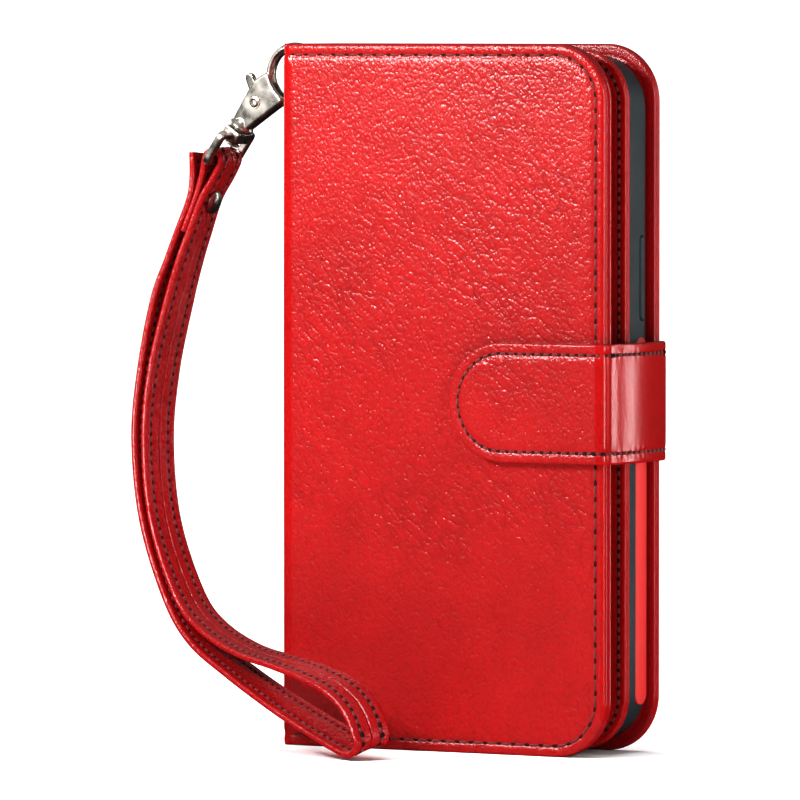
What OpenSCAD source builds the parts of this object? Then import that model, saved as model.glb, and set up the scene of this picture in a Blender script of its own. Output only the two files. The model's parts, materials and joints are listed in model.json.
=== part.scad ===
// Phone wallet case: leather folio with a card leaf, a moulded phone shell held by magnets,
// a magnetic clasp strap and a wrist strap on a swivel snap hook.
// The case stands closed on its lower edges. +X runs from the spine to the free edge,
// -Y faces the viewer (front cover) and +Z is up.

/* [Folio] */
// Width of the closed covers, spine to free edge
case_w = 84.5; // [80:0.5:92]
// Height of the covers
case_h = 160; // [152:1:172]
// Depth of the closed case, front face to back face
case_d = 26.2; // [25.8:0.1:28]
// Radius of the covers' free corners
corner_r = 13; // [8:0.5:18]
// Thickness of the front cover
front_t = 3.8; // [3.2:0.1:4.2]
// Thickness of the back cover
back_t = 2.8; // [2.6:0.1:3.2]
// Thickness of the card leaf
leaf_t = 2.2; // [1.8:0.1:2.6]
// Thickness of the stiff spine
spine_t = 2.95; // [2.5:0.05:3.2]
// Thickness of one leather skin over a board
leather_t = 0.8; // [0.6:0.05:1]
// Width of the stitched border outside a board
border_w = 3.4; // [2.5:0.1:5]

/* [Phone shell] */
// Width of the moulded shell
shell_w = 77; // [74:0.5:79]
// Height of the moulded shell
shell_h = 155; // [146:0.5:156]
// Thickness of the moulded shell
shell_t = 9.9; // [9:0.1:10]
// Thickness of the shell's side walls
shell_wall = 2.2; // [1.6:0.1:2.6]
// Side of the square camera window
camera_w = 34; // [20:1:38]
// Length of the power button
power_len = 19.4; // [10:0.2:24]
// Length of each volume button
volume_len = 10; // [6:0.2:14]

/* [Clasp] */
// Height of the clasp strap
clasp_h = 27; // [20:1:36]
// Reach of the clasp tab over the front cover
clasp_reach = 39.2; // [30:0.5:46]
// Thickness of the magnetic tab
tab_t = 2; // [1.8:0.1:2.4]
// Thickness of the plain strap round the edge
side_t = 1.3; // [1:0.1:1.5]

/* [Wrist strap] */
// Width of the wrist strap
strap_w = 9.4; // [7:0.2:12]
// Thickness of the doubled strap leather
strap_t = 1.5; // [1.2:0.1:1.5]
// Diameter of the strap rivet's head
rivet_d = 5.6; // [4:0.2:7]

/* [Hidden] */
$fn = 64;
fit = 0.15;

// Where each layer of the closed stack lies along Y
front_y = -case_d / 2;
back_y = case_d / 2;
front_in = front_y + front_t;
back_in = back_y - back_t;
shell_back = back_in - 0.2;
shell_front = shell_back - shell_t;
leaf_back = shell_front - 0.2;
leaf_front = leaf_back - leaf_t;

// Spine side and free side along X
spine_x = -case_w / 2;
free_x = case_w / 2;
spine_in = spine_x + spine_t;

// Fold axes, in the middle of each cover's thickness
front_axis = [spine_x + front_t / 2, front_y + front_t / 2];
back_axis = [spine_x + back_t / 2, back_y - back_t / 2];
leaf_axis = [spine_in + 0.25 + leaf_t / 2, leaf_front + leaf_t / 2];
leaf_free = free_x - 0.6;
leaf_inset = 1.2;

// Shell and its details
shell_x1 = free_x - 1.5;
shell_x0 = shell_x1 - shell_w;
shell_z0 = (case_h - shell_h) / 2;
shell_z1 = shell_z0 + shell_h;
shell_r = 12;
lip_w = 1.2;
lip_t = 0.8;
shell_floor_t = 1.3;
steel_t = 0.5;
steel_inset = 8;
steel_r = 6;
camera_x = shell_x1 - 4 - camera_w / 2;
camera_z = shell_z1 - 4.5 - camera_w / 2;
camera_r = 7;
key_y = shell_front + 6.7;
key_w = 2.3;
key_proud = 0.35;
key_play = 0.12;
power_z = 107.3;
volume_z = [118, 105];
stripe_w = 5.2;
stripe_t = 0.7;
stripe_z0 = 11;
stripe_z1 = 94;
stripe_y = shell_front + 6.4;
port_w = 42;
port_h = 5.2;
port_y = shell_front + 2;

// Clasp fold axes
clasp_z = 79.5;
side_x = free_x + 0.2 + side_t / 2;
tab_axis = [side_x, front_y - 0.2 - tab_t / 2];
anchor_y = back_y + 0.05 + side_t / 2;
side_axis = [side_x, anchor_y];
anchor_len = 20;
tab_x0 = free_x - clasp_reach;
magnet_r = 6;
magnet_t = 1;

// Snap hook: its own frame stands on the collar, leaning towards the ring
hook_y = 7;
hook_at = [-64.7, hook_y, 141];
hook_lean = 35;
hoop_at = [5, 17.8];
hoop_r = 7.5;
hoop_wire = 2;
hook_t = 3.6;
slot_t = 1.7;
lever_t = 1.5;
lever_at = [0.45, 7];
pin_r = 0.8;
shank_r = 1.2;
shank_end = -5.2;
shank_head_t = 0.7;
collar_r = 2.9;
collar_t = 1.5;
eye_drop = 9.8;
eye_half = 6.6;
eye_wire = 2;
box_half = [2.2, 3.2];
box_h = 2.9;
box_top = -1.05;

// Ring and its leather tab on the spine
ring_wire = 1.8;
ring_bar = [-44.7, 144.8];
ring_apex = [-48, 149.5];
ring_half = 4.2;
ring_tab_w = 5.4;
ring_tab_z0 = 130;

// Wrist strap route, each row a point and the direction of the strap's width
strap_route = [
    [-76.2, 7.6, 134.5, 0, 1, 0],
    [-75.9, 7.2, 129, 0, 1, 0],
    [-76.3, 6.6, 124, 0.02, 1, 0],
    [-78.9, 5.6, 116, 0.08, 1, 0],
    [-80.7, 4.8, 110, 0.14, 0.99, 0],
    [-83.2, 3, 100.5, 0.22, 0.97, 0],
    [-84.6, 0, 84.5, 0.3, 0.95, 0],
    [-83.7, -4, 68.5, 0.3, 0.95, 0],
    [-78.4, -9, 50, 0.31, 0.95, 0],
    [-68.4, -15, 33, 0.33, 0.94, 0],
    [-58.8, -20, 23.8, 0.34, 0.93, 0.04],
    [-45.7, -25.5, 17.4, 0.35, 0.92, 0.1],
    [-31, -31.5, 11.4, 0.37, 0.9, 0.17],
    [-19, -36, 7, 0.39, 0.88, 0.24],
    [-9.5, -39.6, 3.9, 0.41, 0.86, 0.28],
    [-4.2, -41.4, 2.6, 0.42, 0.85, 0.3],
    [-1.5, -42, 4.4, 0.42, 0.85, 0.3],
    [-2.6, -41.2, 8, 0.42, 0.85, 0.3],
    [-6.4, -39.4, 12.4, 0.41, 0.86, 0.28],
    [-12.4, -37.2, 15.9, 0.4, 0.88, 0.24],
    [-20.6, -34.2, 18.3, 0.39, 0.89, 0.19],
    [-31, -30.2, 20.2, 0.37, 0.91, 0.13],
    [-44, -25, 22.3, 0.35, 0.93, 0.08],
    [-57, -19.4, 27, 0.34, 0.93, 0.03],
    [-66, -15, 34.2, 0.33, 0.94, 0],
    [-76, -9, 50.3, 0.31, 0.95, 0],
    [-81, -4, 68.5, 0.3, 0.95, 0],
    [-81.8, 0, 84.5, 0.3, 0.95, 0],
    [-79.5, 3, 100.5, 0.22, 0.97, 0],
    [-77.2, 4.2, 110, 0.14, 0.99, 0],
    [-75.5, 5.2, 116, 0.08, 1, 0],
    [-72.9, 6.2, 124, 0.02, 1, 0],
    [-69.9, 6.8, 129.2, 0, 1, 0],
    [-68.15, 7, 132.8, 0, 1, 0],
    [-68.76, 7, 134.5, 0, 1, 0],
    [-70.32, 7, 135.15, 0, 1, 0],
    [-71.88, 7, 134.5, 0, 1, 0],
    [-72.49, 7, 132.8, 0, 1, 0],
    [-73.3, 6.9, 129, 0, 1, 0],
    [-74.6, 6.4, 124, 0.02, 1, 0],
    [-77.2, 5.4, 116, 0.08, 1, 0]
];
strap_steps = 3;
rivet_at = [-74.6, 6.4, 124];
rivet_lean = 19;
rivet_stack = 3 * strap_t + 1;

red = "#c8141b";
dark_red = "#8e1018";
nickel = "#c9c6bf";
steel = "#9aa0a6";
board_grey = "#b9b2a4";
shell_grey = "#44474b";

// ---- helpers ----

// Upright plate between two Y planes, drawn in X and Z
module upright(y0, y1) {
    translate([0, y1, 0])
        rotate([90, 0, 0])
            linear_extrude(height = y1 - y0)
                children();
}

// Rectangle with two corners of radius r on the free side
module page(x0, x1, z0, z1, r) {
    translate([x0, z0])
        square([x1 - x0 - r, z1 - z0]);
    translate([x0, z0 + r])
        square([x1 - x0, z1 - z0 - 2 * r]);
    for (z = [z0 + r, z1 - r])
        translate([x1 - r, z])
            circle(r);
}

// Rectangle with four corners of radius r
module soft_square(x0, x1, z0, z1, r) {
    translate([x0 + r, z0])
        square([x1 - x0 - 2 * r, z1 - z0]);
    translate([x0, z0 + r])
        square([x1 - x0, z1 - z0 - 2 * r]);
    for (x = [x0 + r, x1 - r], z = [z0 + r, z1 - r])
        translate([x, z])
            circle(r);
}

// Slot with round ends, standing up
module capsule(x, z0, z1, w) {
    translate([x - w / 2, z0 + w / 2])
        square([w, z1 - z0 - w]);
    for (z = [z0 + w / 2, z1 - w / 2])
        translate([x, z])
            circle(w / 2);
}

// Round rod from one Y to another
module rod_y(x, z, y0, y1, r) {
    translate([x, y1, z])
        rotate([90, 0, 0])
            cylinder(r = r, h = y1 - y0);
}

module camera_cut(y0, y1, grow) {
    upright(y0, y1)
        soft_square(camera_x - camera_w / 2 - grow, camera_x + camera_w / 2 + grow,
            camera_z - camera_w / 2 - grow, camera_z + camera_w / 2 + grow, camera_r);
}

// Half of a stitched cover: a leather sheet with a pocket for the board on one face
module cover_half(x0, z0, z1, y0, y1, pocket_y0, pocket_y1, r) {
    difference() {
        upright(y0, y1)
            page(x0, free_x, z0, z1, r);
        upright(pocket_y0, pocket_y1)
            page(x0 + border_w, free_x - border_w, z0 + border_w, z1 - border_w, r - border_w);
    }
}

// ---- back cover ----

back_mid = (back_y + back_in) / 2;
back_board_y0 = back_in + leather_t;
back_board_y1 = back_y - leather_t;

module back_cover_skin() {
    color(red)
        difference() {
            union() {
                cover_half(back_axis[0], 0, case_h, back_mid, back_y, back_mid - 1, back_board_y1, corner_r);
                intersection() {
                    translate([back_axis[0], back_axis[1], 0])
                        cylinder(r = back_t / 2, h = case_h);
                    translate([spine_x - 1, back_mid, 0])
                        cube([back_axis[0] - spine_x + 1, back_t, case_h]);
                }
            }
            camera_cut(back_in - 1, back_y + 1, 0);
        }
}

module back_cover_lining() {
    color(dark_red)
        difference() {
            union() {
                cover_half(back_axis[0], 0, case_h, back_in, back_mid, back_board_y0, back_mid + 1, corner_r);
                intersection() {
                    translate([back_axis[0], back_axis[1], 0])
                        cylinder(r = back_t / 2, h = case_h);
                    translate([spine_x - 1, back_in, 0])
                        cube([back_axis[0] - spine_x + 1, back_mid - back_in, case_h]);
                }
            }
            camera_cut(back_in - 1, back_y + 1, 0);
        }
}

magnet_places = [[-20, 30], [25, 30], [-20, 110], [2, 70]];
magnet_play = 0.1;
window_border = 1.6;

module back_cover_board() {
    color(board_grey)
        difference() {
            upright(back_board_y0, back_board_y1)
                page(back_axis[0] + border_w, free_x - border_w, border_w, case_h - border_w,
                    corner_r - border_w);
            camera_cut(back_in - 1, back_y + 1, window_border);
            for (p = magnet_places)
                rod_y(p[0], p[1], back_in - 1, back_y + 1, magnet_r + magnet_play);
        }
}

module holding_magnets() {
    color(steel)
        for (p = magnet_places)
            rod_y(p[0], p[1], back_board_y0 + magnet_play, back_board_y1 - magnet_play, magnet_r);
}

module clasp_anchor() {
    color(red)
        upright(anchor_y - side_t / 2, anchor_y + side_t / 2)
            translate([free_x - anchor_len, clasp_z - clasp_h / 2])
                square([side_x - side_t / 2 - fit - free_x + anchor_len, clasp_h]);
}

// ---- spine ----

// One layer of the spine, hollowed at both ends so that the covers' round folds turn in it
module spine_layer(x0, x1) {
    difference() {
        translate([x0, front_axis[1], 0])
            cube([x1 - x0, back_axis[1] - front_axis[1], case_h]);
        translate([front_axis[0], front_axis[1], -1])
            cylinder(r = front_t / 2 + fit, h = case_h + 2);
        translate([front_axis[0], front_axis[1] - 1, -1])
            cube([spine_t, front_t / 2 + fit + 1, case_h + 2]);
        translate([back_axis[0], back_axis[1], -1])
            cylinder(r = back_t / 2 + fit, h = case_h + 2);
        translate([back_axis[0], back_in - fit, -1])
            cube([spine_t, back_t, case_h + 2]);
    }
}

module spine_skin() {
    color(red)
        spine_layer(spine_x, spine_x + leather_t);
}

// The board stops short of the two folds and of the spine's ends
spine_board_w = back_in - front_in - 3;

module spine_board_space() {
    translate([spine_x + leather_t, (front_in + back_in - spine_board_w) / 2, border_w])
        cube([spine_t - 2 * leather_t, spine_board_w, case_h - 2 * border_w]);
}

module spine_board() {
    color(board_grey)
        spine_board_space();
}

module spine_lining() {
    color(dark_red)
        difference() {
            spine_layer(spine_x + leather_t, spine_in);
            spine_board_space();
        }
}

tab_hole_r = ring_wire / 2 + 0.08;
tab_leather = 0.9;

module ring_tab() {
    color(red)
        difference() {
            union() {
                translate([spine_x - tab_leather, hook_y - ring_tab_w / 2, ring_tab_z0])
                    cube([tab_leather, ring_tab_w, ring_bar[1] - ring_tab_z0]);
                rod_y(ring_bar[0], ring_bar[1], hook_y - ring_tab_w / 2, hook_y + ring_tab_w / 2,
                    tab_hole_r + tab_leather);
                translate([ring_bar[0], hook_y - ring_tab_w / 2, ring_bar[1] - tab_hole_r - tab_leather])
                    cube([spine_x - ring_bar[0], ring_tab_w, 2 * (tab_hole_r + tab_leather)]);
            }
            rod_y(ring_bar[0], ring_bar[1], hook_y - ring_tab_w, hook_y + ring_tab_w, tab_hole_r);
            translate([spine_x, hook_y - ring_tab_w, ring_tab_z0 - 1])
                cube([5, 2 * ring_tab_w, 40]);
        }
}

// ---- ring ----

ring_dir = ring_apex - ring_bar;
ring_len = norm(ring_dir);
ring_angle = atan2(ring_dir[1], ring_dir[0]);

// Straight bar in the tab, two legs and a round bow; the legs are a little thinner than the bow
module d_ring() {
    leg_r = ring_wire / 2 - 0.1;
    color(nickel)
        translate([ring_bar[0], hook_y, ring_bar[1]])
            rotate([0, -ring_angle, 0]) {
                rod_y(0, 0, -ring_half - 1, ring_half + 1, ring_wire / 2);
                for (side = [-1, 1])
                    translate([0, side * ring_half, 0])
                        rotate([0, 90, 0])
                            cylinder(r = leg_r, h = ring_len - ring_half + 0.2);
                translate([ring_len - ring_half, 0, 0])
                    rotate([0, 0, -90])
                        rotate_extrude(angle = 180)
                            translate([ring_half, 0])
                                circle(ring_wire / 2);
            }
}

// ---- front cover ----

front_mid = (front_y + front_in) / 2;
front_board_y0 = front_y + leather_t;
front_board_y1 = front_in - leather_t;

module front_cover_skin() {
    color(red) {
        cover_half(front_axis[0], 0, case_h, front_y, front_mid, front_board_y0, front_mid + 1, corner_r);
        intersection() {
            translate([front_axis[0], front_axis[1], 0])
                cylinder(r = front_t / 2, h = case_h);
            translate([spine_x - 1, front_y - 1, 0])
                cube([front_axis[0] - spine_x + 1, front_mid - front_y + 1, case_h]);
        }
    }
}

module front_cover_lining() {
    color(dark_red) {
        cover_half(front_axis[0], 0, case_h, front_mid, front_in, front_mid - 1, front_board_y1, corner_r);
        intersection() {
            translate([front_axis[0], front_axis[1], 0])
                cylinder(r = front_t / 2, h = case_h);
            translate([spine_x - 1, front_mid, 0])
                cube([front_axis[0] - spine_x + 1, front_t, case_h]);
        }
    }
}

keeper_at = [tab_x0 + clasp_h / 2, clasp_z];
keeper_t = 0.8;

module front_cover_board() {
    color(board_grey)
        difference() {
            upright(front_board_y0, front_board_y1)
                page(front_axis[0] + border_w, free_x - border_w, border_w, case_h - border_w,
                    corner_r - border_w);
            rod_y(keeper_at[0], keeper_at[1], front_board_y0 - 1, front_board_y0 + keeper_t + magnet_play,
                magnet_r + magnet_play);
        }
}

module clasp_keeper_plate() {
    color(steel)
        rod_y(keeper_at[0], keeper_at[1], front_board_y0 + magnet_play / 2,
            front_board_y0 + magnet_play / 2 + keeper_t, magnet_r);
}

pocket_t = 0.6;
pocket_margin = 5;
pocket_r = 3;
pocket_tops = [84, 106, 128];

module pocket(y0, z1) {
    upright(y0, y0 + pocket_t)
        page(spine_in + pocket_margin, free_x - pocket_margin, pocket_margin, z1, pocket_r);
}

module cash_pocket() {
    color(dark_red)
        pocket(front_in, case_h - 12);
}

// Card pockets overlap like shingles: the lowest one lies outermost
module cover_card_pocket(n) {
    color(red)
        pocket(front_in + pocket_t * (4 - n), pocket_tops[n - 1]);
}

module leaf_card_pocket(n) {
    color(red)
        pocket(leaf_front - pocket_t * (4 - n), pocket_tops[n - 1]);
}

// ---- card leaf ----

leaf_mid = (leaf_front + leaf_back) / 2;
leaf_board_t = 0.8;

module leaf_half(y0, y1, pocket_y0, pocket_y1) {
    difference() {
        union() {
            upright(y0, y1)
                page(leaf_axis[0], leaf_free, leaf_inset, case_h - leaf_inset, corner_r - 1);
            intersection() {
                translate([leaf_axis[0], leaf_axis[1], leaf_inset])
                    cylinder(r = leaf_t / 2, h = case_h - 2 * leaf_inset);
                translate([spine_in, y0, 0])
                    cube([leaf_axis[0] - spine_in, y1 - y0, case_h]);
            }
        }
        upright(pocket_y0, pocket_y1)
            page(leaf_axis[0] + border_w, leaf_free - border_w, leaf_inset + border_w,
                case_h - leaf_inset - border_w, corner_r - 1 - border_w);
    }
}

module leaf_front_panel() {
    color(red)
        leaf_half(leaf_front, leaf_mid, leaf_mid - leaf_board_t / 2, leaf_mid + 1);
}

module leaf_back_panel() {
    color(red)
        leaf_half(leaf_mid, leaf_back, leaf_mid - 1, leaf_mid + leaf_board_t / 2);
}

module leaf_board() {
    color(board_grey)
        upright(leaf_mid - leaf_board_t / 2, leaf_mid + leaf_board_t / 2)
            page(leaf_axis[0] + border_w, leaf_free - border_w, leaf_inset + border_w,
                case_h - leaf_inset - border_w, corner_r - 1 - border_w);
}

// ---- phone shell ----

bay_x0 = shell_x0 + shell_wall;
bay_x1 = shell_x1 - shell_wall;
bay_z0 = shell_z0 + shell_wall;
bay_z1 = shell_z1 - shell_wall;
bay_back = shell_back - shell_floor_t;

// A slot standing in a side wall, cut along X
module side_slot(x0, x1, y, z0, z1, w) {
    translate([x0, y, 0])
        rotate([90, 0, 90])
            linear_extrude(height = x1 - x0)
                capsule(0, z0, z1, w);
}

module steel_outline(play) {
    soft_square(shell_x0 + steel_inset + play, shell_x1 - steel_inset - play,
        shell_z0 + steel_inset + play, camera_z - camera_w / 2 - steel_inset / 2 - play, steel_r);
}

// Block with a stepped front edge
module shell_outside() {
    soft = 1.4;
    upright(shell_front + soft, shell_back)
        soft_square(shell_x0, shell_x1, shell_z0, shell_z1, shell_r);
    upright(shell_front, shell_front + soft)
        soft_square(shell_x0 + soft / 2, shell_x1 - soft / 2, shell_z0 + soft / 2, shell_z1 - soft / 2,
            shell_r - soft / 2);
}

module phone_shell() {
    color(shell_grey)
        difference() {
            shell_outside();
            upright(shell_front + lip_t, bay_back)
                soft_square(bay_x0, bay_x1, bay_z0, bay_z1, shell_r - shell_wall);
            upright(shell_front - 1, shell_front + lip_t + 1)
                soft_square(bay_x0 + lip_w, bay_x1 - lip_w, bay_z0 + lip_w, bay_z1 - lip_w,
                    shell_r - shell_wall - lip_w);
            camera_cut(bay_back - 1, shell_back + 1, -1);
            upright(shell_back - steel_t, shell_back + 1)
                steel_outline(0);
            side_slot(bay_x1 - 1, shell_x1 + 1, key_y, power_z - power_len / 2, power_z + power_len / 2,
                key_w);
            for (z = volume_z)
                side_slot(shell_x0 - 1, bay_x0 + 1, key_y, z - volume_len / 2, z + volume_len / 2, key_w);
            side_slot(shell_x1 - stripe_t, shell_x1 + 1, stripe_y, stripe_z0, stripe_z1, stripe_w);
            side_slot(shell_x0 - 1, shell_x0 + stripe_t, stripe_y, stripe_z0, stripe_z1, stripe_w);
            translate([(shell_x0 + shell_x1 - port_w) / 2, port_y, shell_z0 - 1])
                cube([port_w, port_h, shell_wall + 2]);
        }
}

module shell_steel_plate() {
    color(steel)
        upright(shell_back - steel_t, shell_back)
            steel_outline(0.1);
}

module side_stripe_right() {
    color(red)
        side_slot(shell_x1 - stripe_t, shell_x1, stripe_y, stripe_z0, stripe_z1, stripe_w);
}

module side_stripe_left() {
    color(red)
        side_slot(shell_x0, shell_x0 + stripe_t, stripe_y, stripe_z0, stripe_z1, stripe_w);
}

module power_button() {
    color(shell_grey)
        side_slot(bay_x1, shell_x1 + key_proud, key_y, power_z - power_len / 2 + key_play,
            power_z + power_len / 2 - key_play, key_w - 2 * key_play);
}

module volume_button(z) {
    color(shell_grey)
        side_slot(shell_x0 - key_proud, bay_x0, key_y, z - volume_len / 2 + key_play,
            z + volume_len / 2 - key_play, key_w - 2 * key_play);
}

// ---- clasp ----

clasp_z0 = clasp_z - clasp_h / 2;

module clasp_side_strap() {
    color(red) {
        translate([side_x - side_t / 2, tab_axis[1] + tab_t / 2 + fit, clasp_z0])
            cube([side_t, side_axis[1] - tab_axis[1] - tab_t / 2 - fit, clasp_h]);
        translate([side_axis[0], side_axis[1], clasp_z0])
            cylinder(r = side_t / 2, h = clasp_h);
    }
}

// Outline of the tab in X and Z, with a round end towards the spine
module tab_outline() {
    translate([tab_x0 + clasp_h / 2, clasp_z0])
        square([tab_axis[0] - tab_x0 - clasp_h / 2, clasp_h]);
    translate([tab_x0 + clasp_h / 2, clasp_z])
        circle(clasp_h / 2);
}

module tab_half(y0, y1) {
    difference() {
        union() {
            upright(y0, y1)
                tab_outline();
            intersection() {
                translate([tab_axis[0], tab_axis[1], clasp_z0])
                    cylinder(r = tab_t / 2, h = clasp_h);
                translate([tab_axis[0], y0, clasp_z0])
                    cube([tab_t, y1 - y0, clasp_h]);
            }
        }
        rod_y(keeper_at[0], keeper_at[1], tab_axis[1] - magnet_t / 2, tab_axis[1] + magnet_t / 2, magnet_r);
    }
}

module clasp_tab_skin() {
    color(red)
        tab_half(tab_axis[1] - tab_t / 2, tab_axis[1]);
}

module clasp_tab_lining() {
    color(dark_red)
        tab_half(tab_axis[1], tab_axis[1] + tab_t / 2);
}

module clasp_magnet() {
    color(steel)
        rod_y(keeper_at[0], keeper_at[1], tab_axis[1] - magnet_t / 2, tab_axis[1] + magnet_t / 2,
            magnet_r - 0.05);
}

// ---- snap hook ----

// Puts a shape drawn in the hook's own frame in its place
module on_hook() {
    translate(hook_at)
        rotate([0, hook_lean, 0])
            children();
}

mouth_from = -82;
mouth_to = -41;

// Ring sector of the hoop left out for the mouth
module mouth() {
    polygon(concat([hoop_at], [for (a = [mouth_from : (mouth_to - mouth_from) / 4 : mouth_to])
        hoop_at + 2 * hoop_r * [cos(a), sin(a)]]));
}

module hook_profile() {
    difference() {
        translate(hoop_at)
            circle(hoop_r);
        translate(hoop_at)
            circle(hoop_r - hoop_wire);
        mouth();
    }
    difference() {
        polygon([[-2.7, 0.6], [2.7, 0.6], [6, 9.6], [5.6, 11.4], [2.2, 12.6], [-1.6, 15.5], [-2.6, 9]]);
        translate(hoop_at)
            circle(hoop_r - hoop_wire);
    }
}

module hook_body() {
    color(nickel)
        on_hook() {
            difference() {
                upright(-hook_t / 2, hook_t / 2)
                    hook_profile();
                upright(-slot_t / 2, slot_t / 2)
                    polygon([[-6, 2.6], [3, 2.6], [12, 9], [12, 12.6], [9, 13.2], [4, 13.4], [-3, 13.2], [-6, 13.2]]);
                rod_y(lever_at[0], lever_at[1], -hook_t, hook_t, pin_r + 0.03);
            }
            translate([0, 0, -0.9])
                cylinder(r = collar_r, h = collar_t);
            translate([0, 0, shank_end])
                cylinder(r = shank_r, h = -shank_end);
            translate([0, 0, shank_end])
                cylinder(r = shank_r + 0.7, h = shank_head_t);
        }
}

gate_len = 11.1;
gate_angle = 33;
thumb_angle = 146;

module hook_lever() {
    color(nickel)
        on_hook()
            translate([lever_at[0], 0, lever_at[1]])
                difference() {
                    upright(-lever_t / 2, lever_t / 2) {
                        circle(1.7);
                        rotate(gate_angle)
                            translate([0, -0.7])
                                square([gate_len - 0.7, 1.4]);
                        rotate(gate_angle)
                            translate([gate_len - 0.7, 0])
                                circle(0.7);
                        rotate(thumb_angle)
                            translate([0, -1])
                                square([6, 2]);
                        rotate(thumb_angle)
                            translate([6, 0])
                                circle(1);
                    }
                    rod_y(0, 0, -lever_t, lever_t, pin_r + 0.05);
                    rod_y(0, 0, -0.05, lever_t, 1.35);
                }
}

module lever_pin() {
    color(nickel)
        on_hook() {
            rod_y(lever_at[0], lever_at[1], -hook_t / 2 - 0.3, hook_t / 2 + 0.3, pin_r);
            rod_y(lever_at[0], lever_at[1], -hook_t / 2 - 0.5, -hook_t / 2, 1.5);
            rod_y(lever_at[0], lever_at[1], hook_t / 2, hook_t / 2 + 0.5, 1.5);
        }
}

module lever_spring() {
    color(steel)
        on_hook()
            translate([lever_at[0], 0, lever_at[1]])
                difference() {
                    rod_y(0, 0, 0, 0.7, 1.25);
                    rod_y(0, 0, -1, 2, 0.9);
                }
}

// Box under the collar with two arms down to the bar that the strap folds over
module swivel_eye() {
    arm = eye_wire / 2;
    arm_half = 0.8 * arm;
    color(nickel)
        on_hook()
            difference() {
                union() {
                    translate([-box_half[0], -box_half[1], box_top - box_h])
                        cube([2 * box_half[0], 2 * box_half[1], box_h]);
                    for (side = [-1, 1])
                        translate([-arm_half, side * eye_half - arm, -eye_drop])
                            cube([2 * arm_half, 2 * arm, eye_drop + box_top - box_h / 3]);
                    translate([-arm_half, -eye_half, box_top - box_h * 0.8])
                        cube([2 * arm_half, 2 * eye_half, box_h * 0.8 - box_h / 3]);
                    rod_y(0, -eye_drop, -eye_half - arm, eye_half + arm, arm);
                }
                translate([0, 0, box_top - box_h - 1])
                    cylinder(r = shank_r + 0.08, h = box_h + 2);
            }
}

// ---- wrist strap ----

// Smooth curve through four rows, at t from 0 to 1 between the middle two
function bend(a, b, c, d, t) =
    0.5 * ((2 * b) + (c - a) * t + (2 * a - 5 * b + 4 * c - d) * t * t + (3 * b - a - 3 * c + d) * t * t * t);
last = len(strap_route) - 1;
function row(i) = strap_route[max(0, min(last, i))];
strap_rows = concat(
    [for (i = [0 : last - 1], k = [0 : strap_steps - 1])
        bend(row(i - 1), row(i), row(i + 1), row(i + 2), k / strap_steps)],
    [row(last)]);
function point(r) = [r[0], r[1], r[2]];
function unit(v) = v / norm(v);
rings = len(strap_rows);
function along(i) = unit(point(strap_rows[min(rings - 1, i + 1)]) - point(strap_rows[max(0, i - 1)]));
function across(i) = unit([strap_rows[i][3], strap_rows[i][4], strap_rows[i][5]]);
function through(i) = unit(cross(along(i), across(i)));
function ring_corner(i, c) = point(strap_rows[i])
    + unit(cross(through(i), along(i))) * strap_w / 2 * [-1, 1, 1, -1][c]
    + through(i) * strap_t / 2 * [-1, -1, 1, 1][c];

module wrist_strap() {
    color(red)
        polyhedron(
            points = [for (i = [0 : rings - 1], c = [0 : 3]) ring_corner(i, c)],
            faces = concat(
                [[0, 1, 2, 3]],
                [for (i = [0 : rings - 2], c = [0 : 3])
                    [4 * i + c, 4 * i + 4 + c, 4 * i + 4 + (c + 1) % 4]],
                [for (i = [0 : rings - 2], c = [0 : 3])
                    [4 * i + c, 4 * i + 4 + (c + 1) % 4, 4 * i + (c + 1) % 4]],
                [[4 * rings - 1, 4 * rings - 2, 4 * rings - 3, 4 * rings - 4]]));
}

module on_rivet() {
    translate(rivet_at)
        rotate([0, 90 + rivet_lean, 0])
            children();
}

module strap_rivet_post() {
    color(nickel)
        on_rivet() {
            translate([0, 0, -rivet_stack / 2 - 0.6])
                cylinder(r = rivet_d / 2, h = 0.6);
            translate([0, 0, -rivet_stack / 2 - 0.1])
                cylinder(r = 1.1, h = rivet_stack + 0.1);
        }
}

module strap_rivet_head() {
    color(nickel)
        on_rivet()
            intersection() {
                translate([0, 0, rivet_stack / 2])
                    cylinder(r = rivet_d / 2, h = 1.2);
                translate([0, 0, rivet_stack / 2 + 1.1 - 5])
                    sphere(5);
            }
}

back_cover_skin();
back_cover_board();
back_cover_lining();
holding_magnets();
clasp_anchor();
spine_skin();
spine_board();
spine_lining();
ring_tab();
d_ring();
front_cover_skin();
front_cover_board();
front_cover_lining();
clasp_keeper_plate();
cash_pocket();
cover_card_pocket(1);  // cover_card_pocket_1
cover_card_pocket(2);  // cover_card_pocket_2
cover_card_pocket(3);  // cover_card_pocket_3
leaf_front_panel();
leaf_board();
leaf_back_panel();
leaf_card_pocket(1);  // leaf_card_pocket_1
leaf_card_pocket(2);  // leaf_card_pocket_2
leaf_card_pocket(3);  // leaf_card_pocket_3
phone_shell();
shell_steel_plate();
side_stripe_right();
side_stripe_left();
power_button();
volume_button(volume_z[0]);  // volume_up_button
volume_button(volume_z[1]);  // volume_down_button
clasp_side_strap();
clasp_tab_skin();
clasp_tab_lining();
clasp_magnet();
hook_body();
hook_lever();
lever_pin();
lever_spring();
swivel_eye();
wrist_strap();
strap_rivet_post();
strap_rivet_head();
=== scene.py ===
import json
import math

import bmesh
import bpy
from bpy.props import FloatProperty, FloatVectorProperty, PointerProperty
from mathutils import Matrix, Vector, noise


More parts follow.
